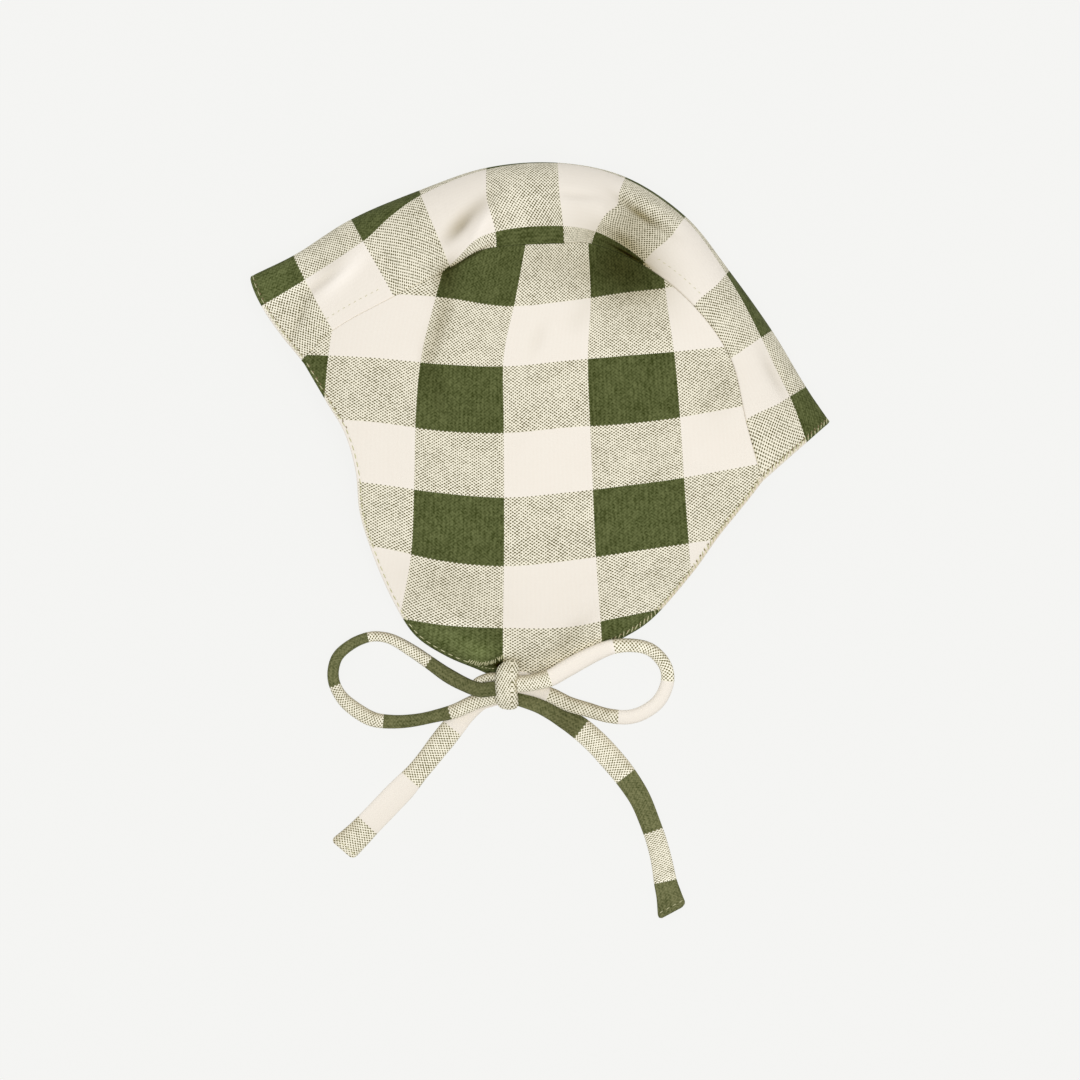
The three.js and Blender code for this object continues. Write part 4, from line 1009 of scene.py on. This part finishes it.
def stitch_tree():
    """Beads of thread at an even pitch along a line, each turned from the line and lying on the cloth."""
    tree = bpy.data.node_groups.new("Stitch row", "GeometryNodeTree")
    tree.interface.new_socket("Geometry", in_out="INPUT", socket_type="NodeSocketGeometry")
    for label in ("Pitch", "Length", "Thickness", "Slant", "Unevenness"):
        tree.interface.new_socket(label, in_out="INPUT", socket_type="NodeSocketFloat")
    tree.interface.new_socket("Seed", in_out="INPUT", socket_type="NodeSocketInt")
    tree.interface.new_socket("Thread", in_out="INPUT", socket_type="NodeSocketMaterial")
    tree.interface.new_socket("Geometry", in_out="OUTPUT", socket_type="NodeSocketGeometry")
    link, given = tree.links.new, tree.nodes.new("NodeGroupInput")
    curve = tree.nodes.new("GeometryNodeMeshToCurve")
    link(given.outputs["Geometry"], curve.inputs["Mesh"])
    even = tree.nodes.new("GeometryNodeResampleCurve")
    even.mode = "LENGTH"
    link(curve.outputs[0], even.inputs["Curve"])
    link(given.outputs["Pitch"], even.inputs["Length"])
    bead = tree.nodes.new("GeometryNodeMeshUVSphere")
    bead.inputs["Segments"].default_value = BEAD_SIDES
    bead.inputs["Rings"].default_value = BEAD_RINGS
    bead.inputs["Radius"].default_value = 0.5
    size = tree.nodes.new("ShaderNodeCombineXYZ")
    link(given.outputs["Length"], size.inputs[0])
    link(given.outputs["Thickness"], size.inputs[1])
    link(given.outputs["Thickness"], size.inputs[2])
    sized = tree.nodes.new("GeometryNodeTransform")
    link(bead.outputs["Mesh"], sized.inputs["Geometry"])
    link(size.outputs[0], sized.inputs["Scale"])
    direction = tree.nodes.new("GeometryNodeInputTangent")
    lie = tree.nodes.new("GeometryNodeInputNamedAttribute")
    lie.data_type = "FLOAT_VECTOR"
    lie.inputs["Name"].default_value = "lie"
    flat = tree.nodes.new("FunctionNodeAlignRotationToVector")
    flat.axis = "Z"
    link(lie.outputs["Attribute"], flat.inputs["Vector"])
    along = tree.nodes.new("FunctionNodeAlignRotationToVector")
    along.axis, along.pivot_axis = "X", "Z"
    link(flat.outputs[0], along.inputs["Rotation"])
    link(direction.outputs[0], along.inputs["Vector"])
    random = tree.nodes.new("FunctionNodeRandomValue")
    random.data_type = "FLOAT"
    random.inputs[2].default_value = -1.0
    random.inputs[3].default_value = 1.0
    link(given.outputs["Seed"], random.inputs["Seed"])
    wander = tree.nodes.new("ShaderNodeMath")
    wander.operation = "MULTIPLY_ADD"
    link(random.outputs[1], wander.inputs[0])
    link(given.outputs["Unevenness"], wander.inputs[1])
    link(given.outputs["Slant"], wander.inputs[2])
    turn = tree.nodes.new("FunctionNodeAxisAngleToRotation")
    turn.inputs["Axis"].default_value = (0, 0, 1)
    link(wander.outputs[0], turn.inputs["Angle"])
    turned = tree.nodes.new("FunctionNodeRotateRotation")
    turned.rotation_space = "LOCAL"
    link(along.outputs[0], turned.inputs["Rotation"])
    link(turn.outputs[0], turned.inputs["Rotate By"])
    placed = tree.nodes.new("GeometryNodeInstanceOnPoints")
    link(even.outputs[0], placed.inputs["Points"])
    link(sized.outputs[0], placed.inputs["Instance"])
    link(turned.outputs[0], placed.inputs["Rotation"])
    real = tree.nodes.new("GeometryNodeRealizeInstances")
    link(placed.outputs[0], real.inputs[0])
    dyed = tree.nodes.new("GeometryNodeSetMaterial")
    link(real.outputs[0], dyed.inputs["Geometry"])
    link(given.outputs["Thread"], dyed.inputs["Material"])
    link(dyed.outputs[0], tree.nodes.new("NodeGroupOutput").inputs[0])
    return tree


stitch_row_tree = stitch_tree()


def stitch_row(line, lie, pitch, length, thickness, slant=0.0, unevenness=0.06, seed=1, yarn=thread):
    """A row of stitches on the cloth along a line, as a plain mesh."""
    guide = bpy.data.meshes.new("guide")
    lifted = line + lie * (thickness * STITCH_LIFT)
    guide.from_pydata(lifted.tolist(), [(k, k + 1) for k in range(len(line) - 1)], [])
    attribute = guide.attributes.new("lie", "FLOAT_VECTOR", "POINT")
    attribute.data.foreach_set("vector", lie.astype(np.float32).ravel())
    row = bpy.data.objects.new("guide", guide)
    bpy.context.scene.collection.objects.link(row)
    maker = row.modifiers.new("Stitch row", "NODES")
    maker.node_group = stitch_row_tree
    sockets = stitch_row_tree.interface.items_tree
    inputs = {item.name: item.identifier for item in sockets if item.in_out == "INPUT"}
    values = {"Pitch": pitch, "Length": length, "Thickness": thickness, "Slant": math.radians(slant),
              "Unevenness": unevenness, "Seed": seed, "Thread": yarn}
    for label, value in values.items():
        maker[inputs[label]] = value
    made = bpy.data.meshes.new_from_object(row.evaluated_get(bpy.context.evaluated_depsgraph_get()))
    bpy.data.objects.remove(row)
    return made


def sew(name, rows, yarn=thread):
    """Joins rows of stitches into one piece."""
    joined = bmesh.new()
    for row in rows:
        joined.from_mesh(row)
    mesh = bpy.data.meshes.new(name)
    joined.to_mesh(mesh)
    joined.free()
    mesh.materials.clear()
    mesh.materials.append(yarn)
    mesh.polygons.foreach_set("use_smooth", np.ones(len(mesh.polygons), bool))
    piece = bpy.data.objects.new(name, mesh)
    bpy.context.scene.collection.objects.link(piece)
    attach(piece, "root")


# The stitches on the near flap's point leave its edge, where the tie comes out between both flaps.
POINT_LINE = np.array([
    (-0.0263, -0.0890), (-0.0229, -0.0899), (-0.0196, -0.0898), (-0.0166, -0.0889), (-0.0146, -0.0878),
    (-0.0136, -0.0871)])
LOW_POINT_LINE = np.array([(-0.0252, -0.0899), (-0.0222, -0.0910), (-0.0195, -0.0916), (-0.0174, -0.0918)])
FRONT_HEM_END, FRONT_HOLES_END, BACK_HEM_START = -0.0265, -0.070, 0.012
HEM_LINE, HOLE_LINE = RIM_STEPS.index(STITCHES_FROM_EDGE), RIM_STEPS.index(HOLES_FROM_EDGE)
face_places, face_lies = left_face.reshape(-1, 3), left_normal.reshape(-1, 3)
free_edge = np.nonzero(~left_on_seam)[0]


def on_face(plan, steps):
    """A line on the upper panel's outer face, over a line in plan, with the face's normals."""
    keys = lengths_along(plan)
    plan = curve_through(keys, plan, np.linspace(0, keys[-1], steps))
    nearest = np.argmin(np.linalg.norm(face_places[None, :, :2] - plan[:, None], axis=2), axis=1)
    return np.concatenate([plan, face_places[nearest, 2:]], 1), face_lies[nearest]


def by_free_edge(rim_step, shown=slice(None)):
    """The shown part of the upper panel's free edge, as far in as one of its rim steps, with its normals."""
    ring = left_face.shape[0] - 1 - rim_step
    return left_face[ring][free_edge][shown], left_normal[ring][free_edge][shown]


hem_x, holes_x = (by_free_edge(step)[0][:, 0] for step in (HEM_LINE, HOLE_LINE))
at_front, at_back = hem_x < FRONT_HEM_END, hem_x > BACK_HEM_START
at_front_holes = holes_x < FRONT_HOLES_END
sew("flap_hem_stitches", [
    stitch_row(*by_free_edge(HEM_LINE, at_front), pitch=0.0031, length=0.0022, thickness=0.00042,
               slant=3, unevenness=0.1, seed=2),
    stitch_row(*on_face(POINT_LINE, 30), pitch=0.00085, length=0.0023, thickness=0.00047,
               slant=62, unevenness=0.3, seed=3),
    stitch_row(*on_face(LOW_POINT_LINE, 20), pitch=0.0012, length=0.0010, thickness=0.00028,
               slant=35, unevenness=0.5, seed=13),
    stitch_row(*by_free_edge(HEM_LINE, at_back), pitch=0.0018, length=0.0031, thickness=0.00045,
               slant=48, unevenness=0.3, seed=4)])

# The hems of the band, from seam to seam.
BESIDE_SEAM = 5
MIXED_EDGE = 40
last_row, last_column = band_out.shape[0] - 1, band_out.shape[1]
hem_columns = slice(BESIDE_SEAM + 1, last_column - BESIDE_SEAM)


def across_band(row, columns):
    return band_out[row, columns], band_normal[row, columns]


sew("band_hem_stitches", [
    stitch_row(*across_band(HEM_LINE, hem_columns), pitch=0.0037, length=0.0029, thickness=0.00034, seed=5),
    stitch_row(*across_band(last_row - HEM_LINE, hem_columns), pitch=0.0019, length=0.0030,
               thickness=0.00042, slant=48, unevenness=0.25, seed=6)])

# Painted shadow: small dark brown beads stand for the shade in the needle's holes beside the turned hems.
HOLE_SHADOW_BROWN = (0.210, 0.155, 0.075, 1)
hole_shade = bpy.data.materials.new("Painted shadow of needle holes")
hole_shade.use_nodes = True
hole_shader = hole_shade.node_tree.nodes["Principled BSDF"]
hole_shader.inputs["Base Color"].default_value = HOLE_SHADOW_BROWN
hole_shader.inputs["Roughness"].default_value = 1.0
mixed_columns = slice(last_column - MIXED_EDGE, last_column - BESIDE_SEAM)
sew("hem_needle_hole_shadows", [
    stitch_row(*by_free_edge(HOLE_LINE, at_back), pitch=0.0027, length=0.0010, thickness=0.00045,
               slant=20, unevenness=0.6, seed=8, yarn=hole_shade),
    stitch_row(*by_free_edge(HOLE_LINE, at_front_holes), pitch=0.0024, length=0.0010, thickness=0.00040,
               unevenness=0.4, seed=9, yarn=hole_shade),
    stitch_row(*across_band(HOLE_LINE, mixed_columns), pitch=0.0022, length=0.0010, thickness=0.00040,
               unevenness=0.4, seed=10, yarn=hole_shade),
    stitch_row(*across_band(last_row - HOLE_LINE, mixed_columns), pitch=0.0020, length=0.0012,
               thickness=0.00050, slant=20, unevenness=0.6, seed=11, yarn=hole_shade)], hole_shade)

# The raw ends of the ties are folded in and held by a line of stitches: how far back, half as long, how high.
END_STITCHES = ((tail_front_line, 0.0020, 0.0037, 0.0028, TAIL_FRONT_SLANT),
                (tail_back_line, 0.0024, 0.0039, 0.0028, TAIL_BACK_SLANT))
END_STEPS = 20
end_rows = []
for line, back, half_width, top, slant in END_STITCHES:
    forward = unit(line[-1] - line[-10])
    aside = np.cross(forward, UP) + forward * slant
    sewn = line[-1] - forward * back + np.linspace(-half_width, half_width, END_STEPS)[:, None] * aside
    sewn[:, 2] = top
    end_rows.append(stitch_row(sewn, np.tile(UP, (END_STEPS, 1)), pitch=0.0021, length=0.0017,
                               thickness=0.00030, slant=6, unevenness=0.1, seed=12))
sew("tie_end_stitches", end_rows)

# A second, sunken row of stitches beside the upper seam shows through in two places.
IMPRINT_CHECKS = ((-0.2, 0.85), (6.0, 6.9))
beside_seam = last_column - len(RIM_STEPS)
imprint_rows = []
for first, last in IMPRINT_CHECKS:
    shown = (check_rows > first) & (check_rows < last)
    imprint_rows.append(stitch_row(*across_band(shown, beside_seam), pitch=0.0022, length=0.0012,
                                   thickness=0.00019, slant=12, unevenness=0.2, seed=7))
sew("band_seam_stitches", imprint_rows)


# The floor and the light
# The hat lies on a pale, evenly lit studio table, which shows no edge and almost no shadow. The light is soft
# and high-key, from a large soft box straight above.

FLOOR_HALF, FLOOR_HEIGHT = 8.0, -0.0002
TABLE_GREY = (0.06, 0.06, 0.06, 1)
TABLE_GLOW, GLOW_STRENGTH = (0.913, 0.913, 0.896, 1), 0.929
ROOM_LIGHT, ROOM_STRENGTH = (1.0, 0.995, 0.985, 1), 0.515
BOX_PLACE, BOX_SIZE, BOX_POWER = (0.2, -0.2, 3.3), 1.6, 62.0

floor_mesh = bpy.data.meshes.new("floor")
floor_corners = [(x * FLOOR_HALF, y * FLOOR_HALF, FLOOR_HEIGHT)
                 for x, y in ((-1, -1), (1, -1), (1, 1), (-1, 1))]
floor_mesh.from_pydata(floor_corners, [], [(0, 1, 2, 3)])
floor = bpy.data.objects.new("floor", floor_mesh)
bpy.context.scene.collection.objects.link(floor)
table = bpy.data.materials.new("Pale table")
table.use_nodes = True
table_shader = table.node_tree.nodes["Principled BSDF"]
table_shader.inputs["Base Color"].default_value = TABLE_GREY
table_shader.inputs["Roughness"].default_value = 1.0
table_shader.inputs["Specular IOR Level"].default_value = 0.0
table_shader.inputs["Emission Color"].default_value = TABLE_GLOW
table_shader.inputs["Emission Strength"].default_value = GLOW_STRENGTH
floor_mesh.materials.append(table)

room = bpy.data.worlds.new("Studio")
room.use_nodes = True
room.node_tree.nodes["Background"].inputs["Color"].default_value = ROOM_LIGHT
room.node_tree.nodes["Background"].inputs["Strength"].default_value = ROOM_STRENGTH
bpy.context.scene.world = room

key_light = bpy.data.lights.new("key light", "AREA")
key_light.shape = "SQUARE"
key_light.size = BOX_SIZE
key_light.energy = BOX_POWER
soft_box = bpy.data.objects.new("key light", key_light)
soft_box.location = BOX_PLACE
soft_box.rotation_mode = "QUATERNION"
soft_box.rotation_quaternion = (-Vector(BOX_PLACE)).to_track_quat("-Z", "Y")
bpy.context.scene.collection.objects.link(soft_box)
bpy.context.scene.view_settings.view_transform = "Standard"
